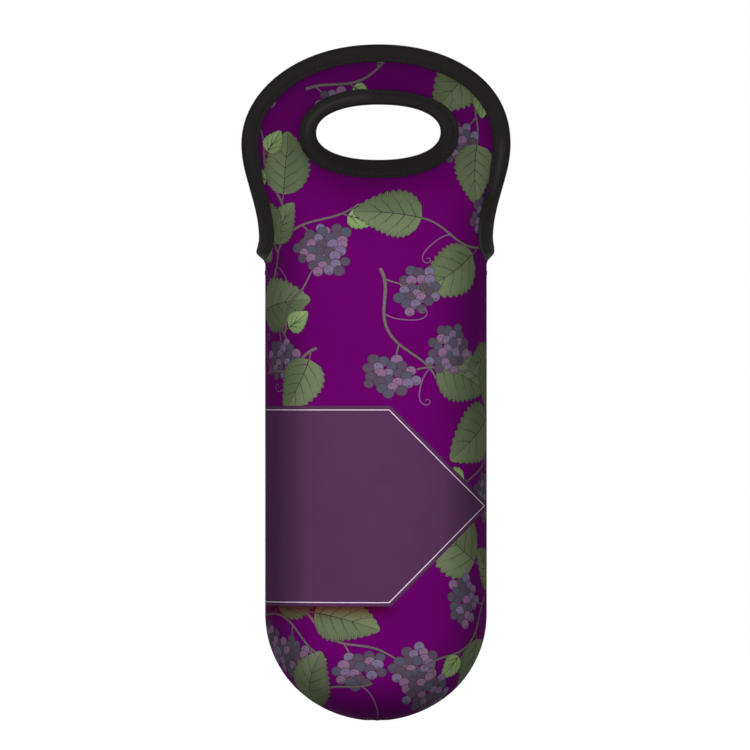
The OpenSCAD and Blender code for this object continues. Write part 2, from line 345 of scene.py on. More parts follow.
def surface_normal(flat, z, depth):
    """Outward normals of the soft surface."""
    step = 0.4
    half = np.maximum(cut_half(z), 1e-3)
    left = np.clip(flat - step, -half, half)
    right = np.clip(flat + step, -half, half)
    low_z, high_z = np.maximum(z - step, 0.02), np.minimum(z + step, PANEL_TOP - 0.01)
    share = flat / half
    across = soft_surface(right, z, depth) - soft_surface(left, z, depth)
    up = (soft_surface(share * cut_half(high_z), high_z, depth)
          - soft_surface(share * cut_half(low_z), low_z, depth))
    normal = np.cross(across, up)
    length = np.linalg.norm(normal, axis=1, keepdims=True)
    pole = length[:, 0] < 1e-7
    normal[pole] = (0, 0, -1)
    length[pole] = 1
    return normal / length


# ---- Sewn sheets: closed thin shells cut out of the flat panel ----

# The handles lean a little to one side at the top, and their hand holes lie off the middle
LEAN, HOLE_OFF = 1.8 * MM, 1.3 * MM
HOLE_OFF_END, HOLE_OFF_FADE = 26, 14
# The feet of the handle sag over the seam, and one stands out a little: by how much, and where
SAG, KINK, FOOT_MID, FOOT_REACH = 0.8 * MM, 0.85 * MM, 271.2, 3.2
SAG_FROM, KINK_FROM, FOOT_FADE = 58, 56, 8


def placed(points, back):
    """Points where they lie in the bag. The back is the front turned round the upright axis."""
    points = np.array(points, float) * ((-1, -1, 1) if back else (1, 1, 1))
    rise = (points[:, 2] / MM - WIDEST_Z) / (PANEL_TOP - WIDEST_Z)
    x, z = points[:, 0] / MM, points[:, 2] / MM
    off = ramp((HOLE_OFF_END - to_hole(pair(x, z))) / HOLE_OFF_FADE)
    points[:, 0] += LEAN * ramp(rise) + HOLE_OFF * off
    near_foot = np.exp(-((z - FOOT_MID) / FOOT_REACH) ** 2)
    points[:, 0] -= KINK * near_foot * ramp((-x - KINK_FROM) / FOOT_FADE)
    points[:, 2] -= SAG * near_foot * ramp((np.abs(x) - SAG_FROM) / FOOT_FADE)
    return points


def triangles(loops, loose):
    """Triangulates the area in the first loop without the second, split along all the others.
    Gives the points, the triangles, the last loop over each, and the loop points of each point."""
    points, polygons = [], []
    for loop in loops:
        numbers = list(range(len(points), len(points) + len(loop)))
        polygons.append(numbers if signed_area(loop) > 0 else numbers[::-1])
        points.extend(loop)
    points.extend(loose)
    cut, _, cut_faces, origin, _, sources = delaunay_2d_cdt(
        [Vector(p) for p in points], [], polygons, 0, 1e-4, True)
    places = np.array([v[:] for v in cut])
    kept = [i for i, source in enumerate(sources) if 0 in source and 1 not in source]
    faces = np.array([cut_faces[i] for i in kept])
    corner = places[faces]
    low = np.array([np.min(loop, axis=0) for loop in loops]) - 0.01
    high = np.array([np.max(loop, axis=0) for loop in loops]) + 0.01
    tops = np.zeros(len(kept), int)
    for row, (i, middle) in enumerate(zip(kept, corner.mean(axis=1))):
        source = np.array(sources[i])
        held = ((low[source] <= middle) & (middle <= high[source])).all(axis=1)
        tops[row] = max(source[held], default=0)
    first, second = corner[:, 1] - corner[:, 0], corner[:, 2] - corner[:, 0]
    size = first[:, 0] * second[:, 1] - first[:, 1] * second[:, 0]
    return places, faces if np.median(size) > 0 else faces[:, ::-1], tops, origin


def border_loops(faces):
    """Loops of points round the border of a set of triangles, the longest first."""
    edges = np.concatenate([faces[:, [0, 1]], faces[:, [1, 2]], faces[:, [2, 0]]])
    inside = set(map(tuple, edges[:, ::-1].tolist()))
    follows = {a: b for a, b in edges.tolist() if (a, b) not in inside}
    loops = []
    while follows:
        start, point = follows.popitem()
        loop = [start]
        while point != start:
            loop.append(point)
            point = follows.pop(point)
        loops.append(loop)
    return sorted(loops, key=len, reverse=True)


# Spacing of the points on a sheet's outer and inner side, beside a seam and round its borders
OUTER_STEP, INNER_STEP, ROW_STEP, BORDER_STEP = 3.6, 5.0, 2.6, 2.0
ROW_INSETS = (0.7, 1.5, 2.5, 3.8, 5.5)
# Rows of points in a triangular grid lie this share of a step apart
GRID_RISE = 0.87


def loose_grid(step):
    """Points spread over the flat panel."""
    reach = WRAP_HALF + 6
    across, up = np.meshgrid(np.arange(-reach, reach, step),
                             np.arange(1, PANEL_TOP, step * GRID_RISE))
    across[1::2] += step / 2
    points = pair(across.ravel(), up.ravel())
    view = front_view(points)
    inside = np.abs(points[:, 0]) < cut_half(points[:, 1]) - 0.4
    inside &= ~((view[:, 1] > WIDEST_Z) & (beyond_dome(view) > 0.99))
    return points[inside]


def beyond_dome(view):
    """Over 1 outside the handle's rounded top."""
    rise = np.maximum(view[:, 1] - WIDEST_Z, 0) / (PANEL_TOP - WIDEST_Z)
    return np.abs(view[:, 0] / WIDEST_HALF) ** DOME_POWER + rise ** DOME_POWER


def seam_rows():
    """Rows of points beside the side seams, where the panel turns in."""
    heights = np.concatenate([np.geomspace(0.4, BOTTOM_H, 40),
                              np.arange(BOTTOM_H, SEAM_TOP + 8, ROW_STEP)])
    rows = np.vstack([pair(side * (cut_half(heights) - inset), heights)
                      for inset in ROW_INSETS for side in (-1, 1)])
    return rows[rows[:, 0] * np.sign(rows[:, 0]) > 0.3]


def hole_line():
    """The hand hole's outline on the flat panel."""
    turn = np.linspace(0, 2 * np.pi, 150, endpoint=False)
    return laid_flat(round_hole(turn, hole_radius(round_hole(turn))))


def panel_line():
    """The cut panel's outline laid flat."""
    right = np.vstack([spaced(pouch_edge(), BORDER_STEP), spaced(handle_edge(), BORDER_STEP)])
    return laid_flat(both_sides(right))


def snap_to_seam(places, border):
    """Puts a panel's border exactly on the seam, so that the two panels meet without a gap."""
    flat, z = places[border, 0], places[border, 1]
    half = cut_half(z)
    on_seam = (z < SEAM_TOP) & (np.abs(flat) > half - 1.2)
    places[np.array(border)[on_seam], 0] = (np.sign(flat) * half)[on_seam]


def whole_face(corners):
    """A face without repeated corners, or nothing where too few are left."""
    corners = [c for i, c in enumerate(corners) if c != corners[i - 1]]
    return [tuple(corners)] if len(set(corners)) > 2 else []


def outer_side(shapes, more):
    """Points and triangles of the outer side, its two borders, and the shape over each triangle."""
    loops = [panel_line(), hole_line()] + [shape for shape, _ in shapes]
    loose = np.vstack([loose_grid(OUTER_STEP), seam_rows()] + more)
    places, faces, tops, _ = triangles(loops, loose)
    used, faces = np.unique(faces, return_inverse=True)
    places, faces = places[used], faces.reshape(-1, 3)
    borders = border_loops(faces)
    snap_to_seam(places, borders[0])
    patches = [(loop[0], loop[i + 1], loop[i]) for loop in borders[2:]
               for i in range(1, len(loop) - 1)]
    if patches:
        faces = np.vstack([faces, patches])
        tops = np.concatenate([tops, np.zeros(len(patches), int)])
    return places, faces, tops, borders[:2]


def inner_side(places, borders):
    """Points and faces of the inner side, with the faces that join its borders to the outer's."""
    under, faces, _, origin = triangles([places[loop] for loop in borders],
                                        np.vstack([loose_grid(INNER_STEP), seam_rows()]))
    faces = faces[:, ::-1] + len(places)
    numbers = [point for loop in borders for point in loop]
    partner = {numbers[source]: i + len(places) for i, sources in enumerate(origin)
               for source in sources if source < len(numbers)}
    rim = [face for loop in borders for a, b in zip(loop, loop[1:] + loop[:1])
           for face in whole_face((b, a, partner[a], partner[b]))]
    return under, faces.tolist() + rim


def sheet_mesh(name, outside, inside, back, shapes=(), band=False):
    """A closed shell of the panel between two depths, printed where shapes are given."""
    places, faces, tops, borders = outer_side(shapes, [shadow_places()] if band else [])
    under, more_faces = inner_side(places, borders)
    top = (*places.T, np.full(len(places), outside))
    low = (*under.T, np.full(len(under), inside))
    points = np.vstack([soft_surface(*top), soft_surface(*low)]) * MM
    normals = np.vstack([surface_normal(*top), -surface_normal(*low)])
    if back:
        normals = normals * (-1, -1, 1)
    piece = new_piece(name, placed(points, back), faces.tolist() + more_faces)
    set_uv(piece, np.vstack([places, under]) * MM)
    if shapes:
        paint(piece, places, faces, tops, shapes, band)
    # Smooth normals from the surface's own formula, so that fine print triangles don't show
    piece.data.normals_split_custom_set(normals[corner_points(piece.data)].tolist())
    return piece


def new_piece(name, points, polygons):
    """An object at the origin with its place in its mesh."""
    mesh = bpy.data.meshes.new(name)
    mesh.from_pydata([tuple(p) for p in points], [], [tuple(int(i) for i in f) for f in polygons])
    mesh.polygons.foreach_set("use_smooth", [True] * len(mesh.polygons))
    mesh.update()
    piece = bpy.data.objects.new(name, mesh)
    bpy.context.scene.collection.objects.link(piece)
    return piece


def corner_points(mesh):
    """The point of each corner of a mesh's faces."""
    index = np.empty(len(mesh.loops), int)
    mesh.loops.foreach_get("vertex_index", index)
    return index


def set_uv(piece, flat):
    """The piece's UV map is its place on the flat cloth, in metres."""
    layer = piece.data.uv_layers.new(name="cloth")
    layer.data.foreach_set("uv", flat[corner_points(piece.data)].ravel())


def paint(piece, places, faces, tops, shapes, band):
    """Writes the print's colour at each corner of the printed side, and dark ground elsewhere.
    Shapes count from 2, because the panel's outline and its hole come before them."""
    inks = [INKS["ground"], None] + [INKS[ink] for _, ink in shapes]
    layer = piece.data.color_attributes.new("print", "FLOAT_COLOR", "CORNER")
    colours = np.ones((len(piece.data.loops), 4))
    colours[:, :3] = INKS["ground"] * CUT_EDGE_DYE
    corners = faces.ravel()
    flat_colours = np.array([inks[top] for top in tops]).repeat(3, axis=0)
    # The print's colours, darkened by painted shade towards the rim and by the band's shadow
    colours[:len(corners), :3] = flat_colours * painted_shade(places, band)[corners]
    layer.data.foreach_set("color", colours.ravel())


# ---- The print: leafy sprigs with berries, drawn as flat shapes on the cut panel ----

def linear(red, green, blue):
    """A colour written in the usual 0 to 255 steps, as the light that it stands for."""
    share = np.array([red, green, blue]) / 255
    return np.where(share < 0.04045, share / 12.92, ((share + 0.055) / 1.055) ** 2.4)


INKS = {name: linear(*steps) for name, steps in (
    ("ground", (102, 0, 102)), ("line", (66, 54, 58)),
    ("leaf", (115, 129, 95)), ("leaf_shade", (103, 117, 85)),
    ("fresh", (150, 178, 118)), ("fresh_shade", (134, 162, 104)),
    ("pale", (160, 172, 150)), ("stem", (118, 104, 104)), ("curl", (126, 92, 122)),
    ("mauve", (138, 104, 137)), ("violet", (122, 108, 140)),
    ("slate", (84, 83, 100)), ("taupe", (88, 75, 92)),
    ("band", (88, 52, 88)), ("band_line", (234, 208, 233)), ("band_edge", (66, 38, 66)))}
BERRY_INKS = ("slate", "mauve", "taupe", "violet", "slate", "taupe", "violet", "mauve", "taupe")
LIT_INKS = ("mauve", "violet")
# Inks of the shapes that hide what was drawn before them
COVER_INKS = ("leaf", "fresh", "pale", "mauve", "violet", "slate", "taupe", "band")


def heading(angle):
    return np.array([math.cos(angle), math.sin(angle)])


def headings(angles):
    return pair(np.cos(angles), np.sin(angles))


def along_and_left(line):
    """Unit directions along a line, and to its left."""
    along = unit(np.gradient(line, axis=0))
    return along, pair(-along[:, 1], along[:, 0])


def pen(shapes, *outlines):
    """Adds outlines in the dark ink of the pen."""
    shapes.extend((outline, "line") for outline in outlines)


def stroke(line, widths):
    """A ribbon along a line, as wide as widths says at each point."""
    line = np.asarray(line, float)
    beside = along_and_left(line)[1] * (np.asarray(widths) / 2)[:, None]
    return np.vstack([line - beside, (line + beside)[::-1]])


def tapered(line, thick, thin):
    """A ribbon along a line that gets thinner."""
    return stroke(line, np.linspace(thick, thin, len(line)))


def needle(thick, thin, width):
    """A short pen stroke that runs out to a point."""
    thick, thin = np.asarray(thick, float), np.asarray(thin, float)
    along = (thin - thick) / max(np.linalg.norm(thin - thick), 1e-9)
    beside = np.array([-along[1], along[0]]) * width / 2
    return np.array([thick - beside, thin, thick + beside])


def path(start, steps):
    """A line from a start by steps."""
    return np.vstack([[start], np.asarray(start) + np.cumsum(steps, axis=0)])


def arc_line(start, angle, length, bend, count):
    """A line that starts at an angle and turns by bend in all, at an even rate."""
    angles = angle + bend * np.linspace(0, 1, count - 1)
    return path(start, headings(angles) * length / (count - 1))


def wave_line(start, angle, length, sway, count):
    """An S-shaped line: it turns one way and then back the other."""
    angles = angle + sway * np.sin(np.linspace(0, 2 * math.pi, count - 1))
    return path(start, headings(angles) * length / (count - 1))


def stalk(shapes, start, angle, length, bend, count, outer, inner):
    """A short stem in its pen outline, each with its widths at foot and tip. Gives its tip."""
    line = arc_line(start, angle, length, bend, count)
    pen(shapes, tapered(line, *outer))
    shapes.append((tapered(line, *inner), "stem"))
    return line[-1]


# A leaf's teeth: where each starts, rises and peaks in its share of the margin, how far out it is
# there, and the full reach as a share of the leaf's width
TOOTH_AT, TOOTH_OUT, TOOTH_DEEP = (0, 0.42, 0.8), (0.0, 0.55, 1.0), 0.085
# Widths of a leaf's pen strokes: its rim, a side vein from root to tip, its fork, a short stroke
# in from the margin, and the midrib from foot to tip
PEN_W, VEIN_W, FORK_W, HATCH_W, RIB_W = 0.3, (0.42, 0.3, 0.12), 0.26, 0.32, (0.62, 0.16)
# Steps along a leaf's spine
SPINE = 24


def leaf_half(t, width):
    """Half the width of a leaf at a share t of its length, broad below and drawn out at the tip."""
    return width / 2 * 1.24 * np.sin(np.pi * np.clip(t, 0, 1) ** 0.68) ** 0.72 * (1 - 0.22 * t)


def leaf_side(spine, side, width, grow, teeth):
    """One margin of a leaf along its spine: saw teeth that lean towards the tip."""
    starts = np.arange(teeth) / teeth
    t = np.stack([starts + at / teeth for at in TOOTH_AT], axis=1).ravel()
    t = np.append(t, 1.0)
    saw = np.append(np.tile(TOOTH_OUT, teeth), 0.0)
    line = points_at(t, np.linspace(0, 1, len(spine)), spine)
    left = along_and_left(line)[1]
    reach = leaf_half(t, width) + TOOTH_DEEP * width * saw * np.sin(np.pi * t) ** 0.6
    return line + left * (side * np.maximum(reach + grow, grow * 0.5))[:, None]


def leaf(shapes, start, angle, length, width, bend, ink, teeth):
    """A pointed leaf with a midrib, forked side veins, and short pen strokes in from its margin."""
    spine = arc_line(start, angle, length, bend, SPINE + 1)
    left, right = leaf_side(spine, 1, width, 0, teeth), leaf_side(spine, -1, width, 0, teeth)
    pen(shapes, np.vstack([leaf_side(spine, -1, width, PEN_W, teeth),
                           leaf_side(spine, 1, width, PEN_W, teeth)[::-1]]))
    shapes.append((np.vstack([right, left[::-1]]), ink))
    shapes.append((np.vstack([right[1:-1], spine[1:-1][::-1]]), ink + "_shade"))
    for number in range(1, teeth - 3, 2):
        root = spine[2 * number]
        for margin in (left, right):
            goal = margin[min(3 * number + 8, 3 * teeth - 1)]
            tip = mix(spine[min(2 * number + 5, SPINE)], goal, 0.8)
            bow = mix(root, tip, 0.5) + (root - spine[2 * number + 4]) * 0.1
            fork = mix(bow, margin[min(3 * number + 3, 3 * teeth - 1)], 0.45)
            pen(shapes, stroke([root, bow, tip], VEIN_W), needle(bow, fork, FORK_W))
    for number in range(teeth * 3 - 2):
        for margin, share in ((left, 0.26), (right, 0.34)):
            deep = (share + 0.13 * math.sin(number * 2.3)) * (1 if number % 3 == 1 else 0.75)
            inner = spine[max(0, round(number * SPINE / (3 * teeth)) - 2)]
            pen(shapes, needle(margin[number], mix(margin[number], inner, deep), HATCH_W))
    pen(shapes, tapered(spine, *RIB_W))


def leaf_of_three(shapes, start, angle, length, side):
    """Three toothed leaflets on one stalk, the middle one in front."""
    for turn, share, bend in ((1.05, 0.78, 0.25), (-1.05, 0.78, -0.25), (0, 1.0, 0.25 * side)):
        leaf(shapes, start, angle + turn, length * share, length * share * 0.62, bend, "leaf", 11)


def round_shape(centre, radius, count=14, stretch=1.0, angle=0.0):
    turn = np.linspace(0, 2 * math.pi, count, endpoint=False)
    local = pair(radius * stretch * np.cos(turn), radius * np.sin(turn))
    spin = np.array([[math.cos(angle), math.sin(angle)], [-math.sin(angle), math.cos(angle)]])
    return np.asarray(centre) + local @ spin


# A berry's rim, and on a lit one its strokes: inset, start and end in degrees, and their widths
BERRY_RIM = 0.26
BERRY_STROKES = ((0.5, 215, 330), (1.05, 235, 325), (1.6, 250, 315))
BERRY_STROKE_W = (0.05, 0.24, 0.3, 0.24, 0.05)


def berry(shapes, centre, radius, ink):
    """A round berry with a pen outline. A lit one has curved strokes round its shaded side."""
    centre = np.asarray(centre, float)
    pen(shapes, round_shape(centre, radius + BERRY_RIM))
    shapes.append((round_shape(centre, radius), ink))
    if ink not in LIT_INKS:
        return
    for inset, first, last in BERRY_STROKES:
        turn = np.radians(np.linspace(first, last, len(BERRY_STROKE_W)))
        pen(shapes, stroke(centre + headings(turn) * (radius - inset), BERRY_STROKE_W))
    pen(shapes, round_shape(centre + radius * 0.5 * heading(2.1), 0.3, 6))


GOLDEN_TURN = 2.39996
BERRY_SIZE = (2.35, 3.0)


def cluster(shapes, start, angle, count, rng):
    """A round-topped head of berries on fine ribs that spread from one stalk."""
    size, squash = 2.85 * math.sqrt(count), 0.8
    foot = stalk(shapes, start, angle, size * 0.62, rng.uniform(-0.3, 0.3), 8,
                 (1.2, 0.9), (0.8, 0.6))
    way, beside = heading(angle), heading(angle + math.pi / 2)
    middle = foot + way * size * squash * 0.92
    turn = rng.uniform(0, 6)
    spots = []
    for i in range(count):
        far = size * math.sqrt((i + 0.5) / count)
        turn += GOLDEN_TURN
        spots.append(middle + way * far * squash * math.cos(turn) + beside * far * math.sin(turn)
                     + rng.uniform(-0.4, 0.4, 2))
    for spot in spots[::2]:
        bow = mix(foot, spot, 0.5) + way * 0.12 * size
        shapes.append((stroke([foot, bow, spot], [0.55, 0.45, 0.4]), "stem"))
    for number, spot in enumerate(sorted(spots, key=lambda p: -p[1])):
        ink = BERRY_INKS[(number * 2 + count) % len(BERRY_INKS)]
        berry(shapes, spot, rng.uniform(*BERRY_SIZE), ink)


# A blossom's radius, and its petals: how many, how far out, half width and stretch, as shares
PETAL_SIZE = (6.2, 7.0)
PETALS, PETAL_OUT, PETAL_R, PETAL_LONG = 5, 0.55, 0.36, 1.3


def blossom(shapes, centre, radius, angle):
    """Plain round petals, each with three strokes, round a plain middle."""
    for i in range(PETALS):
        way = angle + i * 2 * math.pi / PETALS
        middle = np.asarray(centre) + radius * PETAL_OUT * heading(way)
        pen(shapes, round_shape(middle, radius * PETAL_R + 0.25, 16, PETAL_LONG, way))
        shapes.append((round_shape(middle, radius * PETAL_R, 16, PETAL_LONG, way), "pale"))
        for turn in (-0.28, 0, 0.28):
            ends = [np.asarray(centre) + radius * share * heading(way + turn * share)
                    for share in (0.25, 0.68)]
            pen(shapes, needle(*ends, 0.24))
    shapes.append((round_shape(centre, radius * 0.2, 10), "stem"))


def ribbons(shapes, line, span, thick, thin, ink, more=0.0):
    """A long line in short overlapping ribbons, so that it may cross itself."""
    count = len(line)
    for first in range(0, count - span, span):
        part = line[first:first + span + 1]
        widths = np.interp(np.arange(first, first + len(part)), [0, count], [thick, thin]) + more
        shapes.append((stroke(part, widths), ink))


def curl(shapes, start, angle, size, side):
    """A thin tendril that waves along and winds up at its end."""
    count, wind = 44, 7.5
    run = np.linspace(0, 1, count - 1)
    angles = angle + side * (0.55 * np.sin(run * 7) * (1 - run) + run ** 2.6 * wind)
    pace = np.linspace(1.0, 0.34, count - 1) * size * 2.4 / (count - 1)
    ribbons(shapes, path(start, headings(angles) * pace[:, None]), 6, 0.72, 0.42, "curl")


# Least and most at size 1: length of a leaflet of a leaf of three, of a leaf and of a young leaf
THREE_LONG, LEAF_LONG, YOUNG_LONG = (33, 36), (36, 41), (14, 16)
# Berries in a cluster, at least this many and fewer than that, and the size of a tendril
CLUSTER_COUNT, CURL_SIZE = (21, 28), (17, 22)


def sprig(shapes, start, angle, length, sway, seed, parts, size):
    """An S-shaped stem. Each letter of parts is what grows there: L and R a leaf to the left and
    right, F and G a leaf of three, l and r a small young leaf, B and D a cluster of berries,
    C and U a tendril, P a flower, a dot nothing. At the end, T is a leaf and K a cluster."""
    rng = np.random.default_rng(seed)
    count = 46
    stem = wave_line(start, math.radians(angle), length, sway, count)
    ribbons(shapes, stem, 5, 1.5, 0.8, "line", 0.5)
    ribbons(shapes, stem, 5, 1.5, 0.8, "stem")
    for at in range(1, count - 2, 2):
        pen(shapes, needle(mix(stem[at], stem[at + 1], 0.1), mix(stem[at], stem[at + 1], 0.8), 0.3))
    places = np.linspace(4, count - 6, max(len(parts.rstrip("TK")), 2)).astype(int)
    for letter, at in zip(parts, places):
        way = math.atan2(*(stem[at + 1] - stem[at])[::-1])
        side = 1 if letter in "LlBCF" else -1
        turn = side * rng.uniform(0.85, 1.1)
        if letter in "FG":
            tip = stalk(shapes, stem[at], way + turn, 7, 0, 6, (1.5, 1.2), (1.0, 0.8))
            leaf_of_three(shapes, tip, way + turn, size * rng.uniform(*THREE_LONG), side)
        elif letter in "LRlr":
            big = letter in "LR"
            long = size * rng.uniform(*(LEAF_LONG if big else YOUNG_LONG))
            tip = stalk(shapes, stem[at], way + turn, 5 if big else 3, -side * 0.3, 6,
                        (1.1, 0.9), (0.7, 0.5))
            leaf(shapes, tip, way + turn - side * 0.3, long, long * rng.uniform(0.6, 0.68),
                 -side * rng.uniform(0.15, 0.5), "leaf" if big else "fresh", 12 if big else 7)
        elif letter in "BD":
            cluster(shapes, stem[at], way + turn, int(size * rng.integers(*CLUSTER_COUNT)), rng)
        elif letter in "CU":
            curl(shapes, stem[at], way + turn * 0.8, rng.uniform(*CURL_SIZE), side)
        elif letter == "P":
            blossom(shapes, stem[at] + 6 * heading(way + 1.6), rng.uniform(*PETAL_SIZE),
                    rng.uniform(0, 1))
    way = math.atan2(*(stem[-1] - stem[-2])[::-1])
    if parts[-1] == "T":
        leaf(shapes, stem[-1], way, size * 35, size * 22, 0.3, "leaf", 12)
    if parts[-1] == "K":
        cluster(shapes, stem[-1], way, int(size * 27), rng)


def inside_shape(points, loop):
    """Which points lie inside a closed outline."""
    x, z = points[:, :1], points[:, 1:]
    after = np.roll(loop, -1, axis=0)
    rise = np.where(after[:, 1] == loop[:, 1], 1e-9, after[:, 1] - loop[:, 1])
    crossed = (loop[:, 1] > z) != (after[:, 1] > z)
    at = loop[:, 0] + (z - loop[:, 1]) * (after[:, 0] - loop[:, 0]) / rise
    return (crossed & (x < at)).sum(axis=1) % 2 == 1


def shown(shapes):
    """The shapes without those that lie off the panel or wholly under a later one."""
    shapes = [(shape, ink) for shape, ink in shapes
              if (np.abs(shape[:, 0]) < WRAP_HALF + 1).any() and (shape[:, 1] < PANEL_TOP).any()
              and (shape[:, 1] > 0).any() and abs(signed_area(shape)) > 0.004]
    low = np.array([shape.min(axis=0) for shape, _ in shapes])
    high = np.array([shape.max(axis=0) for shape, _ in shapes])
    kept = np.ones(len(shapes), bool)
    for number, (cover, ink) in enumerate(shapes):
        if ink not in COVER_INKS:
            continue
        within = (low[:number] >= low[number]).all(axis=1)
        within &= (high[:number] <= high[number]).all(axis=1)
        for other in np.flatnonzero(within & kept[:number]):
            kept[other] = not inside_shape(shapes[other][0], cover).all()
    return [shape for shape, keep in zip(shapes, kept) if keep]


# Each sprig: where it starts, heading in degrees, length, sway, seed, what grows on it, size
FRONT_SPRIGS = (
    ((-52, 296), 108, 50, 0.35, 11, "R.l.r.K", 0.95),
    ((66, 388), -98, 56, -0.3, 12, "R.l.D.T", 1.0),
    ((-42, 366), 22, 62, -0.35, 13, "D.r.l.K", 0.75),
    ((-70, 244), 42, 88, 0.5, 14, "C.F.D.r", 1.0),
    ((84, 276), 166, 66, 0.45, 15, "D.L.C.T", 1.0),
    ((-84, 238), -38, 62, 0.5, 16, "L.D.U", 1.1),
    ((2, 262), -66, 74, -0.5, 17, "B.C.D.L", 1.05),
    ((-52, 224), 62, 34, 0.4, 28, "r.C.K", 1.0),
    ((84, 222), 196, 70, 0.45, 18, "F.D.C", 1.0),
    ((-30, 216), -160, 44, 0.4, 26, "L.U", 0.95),
    ((84, 182), 232, 64, 0.45, 19, "R.B.r", 1.1),
    ((84, 68), 118, 64, 0.4, 21, "G.L.D", 1.1),
    ((-84, 64), -24, 66, 0.5, 22, "D.L.D.r", 1.05),
    ((-40, 66), -30, 52, -0.4, 29, "L.D.K", 0.9),
    ((72, 72), -140, 66, 0.45, 23, "D.L.l.B", 1.05),
    ((-44, 2), 26, 50, 0.5, 24, "L.C.U", 0.9),
)
BACK_SPRIGS = (
    ((-70, 20), 55, 88, 0.5, 31, "F.D.R.K", 1.05),
    ((20, 14), 60, 86, -0.5, 32, "B.L.C.T", 1.05),
    ((-76, 110), 40, 86, 0.5, 33, "R.B.L.T", 1.05),
    ((8, 104), 46, 90, 0.5, 34, "D.F.U.K", 1.05),
    ((-60, 200), 60, 84, -0.45, 35, "L.D.C.G", 1.05),
    ((22, 206), 48, 88, 0.5, 36, "B.R.U.K", 1.05),
    ((-40, 268), 70, 70, 0.5, 37, "L.B.R", 1.0),
    ((40, 276), 66, 82, -0.5, 38, "F.D.T", 0.95),
    ((-20, 150), 100, 60, 0.4, 39, "P.R.C", 1.0),
    ((-56, 330), 70, 56, 0.4, 41, "B.r.l", 0.95),
    ((20, 382), 190, 56, 0.4, 42, "D.L.l", 0.9),
    ((-84, 168), 10, 40, 0.4, 43, "D.C", 1.0),
)

# The bare band of the front, pointed at its right end, in the front view
BAND_LOW, BAND_HIGH = 67.0, 182.45
BAND_CORNER, BAND_TIP, BAND_PAST = 8.4, 65.3, 8
LINE_INSET, LINE_W, EDGE_W = 1.85, 0.6, 0.5


def band_shape(inset):
    """The band's outline laid flat, past the seam on the left, with points to follow the curve."""
    tip_z = (BAND_LOW + BAND_HIGH) / 2
    run, rise = BAND_TIP - BAND_CORNER, BAND_HIGH - tip_z
    slant = inset * math.hypot(run, rise) / rise
    corner = BAND_CORNER - inset * (math.hypot(run, rise) - run) / rise
    start = -BODY_HALF - BAND_PAST
    line = spaced_sides([(start, BAND_LOW + inset), (corner, BAND_LOW + inset),
                         (BAND_TIP - slant, tip_z), (corner, BAND_HIGH - inset),
                         (start, BAND_HIGH - inset)], 2.5)
    flat = laid_flat(line)
    past = np.abs(line[:, 0]) > BODY_HALF - 0.05
    flat[past, 0] = np.sign(line[past, 0]) * (WRAP_HALF + 1 + np.abs(line[past, 0]) - BODY_HALF)
    return spaced_sides(flat, 1.3)


def band_shapes():
    """The band with its dark rim, and a pale line with dark edges inside its rim."""
    insets = ((-0.25, "band_edge"), (0, "band"), (LINE_INSET - EDGE_W, "band_edge"),
              (LINE_INSET, "band_line"), (LINE_INSET + LINE_W, "band_edge"),
              (LINE_INSET + LINE_W + EDGE_W, "band"))
    return [(band_shape(inset), ink) for inset, ink in insets]


# Share of the ground colour on the cut edges, and painted shade by distance from the panel's rim
# and from the hand hole
CUT_EDGE_DYE = 0.35
RIM_STEPS = (2, 8, 12, 16, 20, 24, 28, 32, 38)
HANDLE_PAINTED_SHADE = (0.385, 0.48, 0.60, 0.74, 0.82, 0.905, 0.98, 1.05, 1.09)
POUCH_PAINTED_SHADE = (0.45, 0.475, 0.60, 0.68, 0.79, 0.93, 0.97, 1.0, 1.0)
HOLE_STEPS = (8, 12, 16, 21, 26, 32, 42)
HOLE_PAINTED_SHADE = (0.48, 0.55, 0.63, 0.73, 0.80, 0.88, 1.0)
# The pouch's painted shade turns into the handle's over this height, and painted light makes the
# print a little lighter this far below the band
HANDLE_SHADE_H = 50
PAINTED_LIGHT_LOW, PAINTED_LIGHT_LOW_H = 0.1, 34
# The soft dark red shadow under the band: distance below it, and what is left of red and blue
SHADOW_STEPS = (0.3, 1.5, 2.6, 3.8, 5.0, 6.1, 8.0, 10.0)
SHADOW_RED = (0.40, 0.47, 0.60, 0.70, 0.77, 0.85, 0.95, 1.0)
SHADOW_BLUE = (0.13, 0.17, 0.28, 0.44, 0.59, 0.70, 0.88, 1.0)
SHADOW_ROWS = (0.8, 1.6, 2.5, 3.5, 4.7, 6.2, 8.0, 10.0)
SHADOW_END, SHADOW_FADE = BAND_CORNER + 8, 18


def shadow_places():
    """Points under the band, close enough together to carry its shadow."""
    rows = [(x, BAND_LOW - below) for below in SHADOW_ROWS
            for x in np.arange(1.0 - BODY_HALF, BAND_CORNER + 10, 3.0)]
    return laid_flat(np.array(rows))


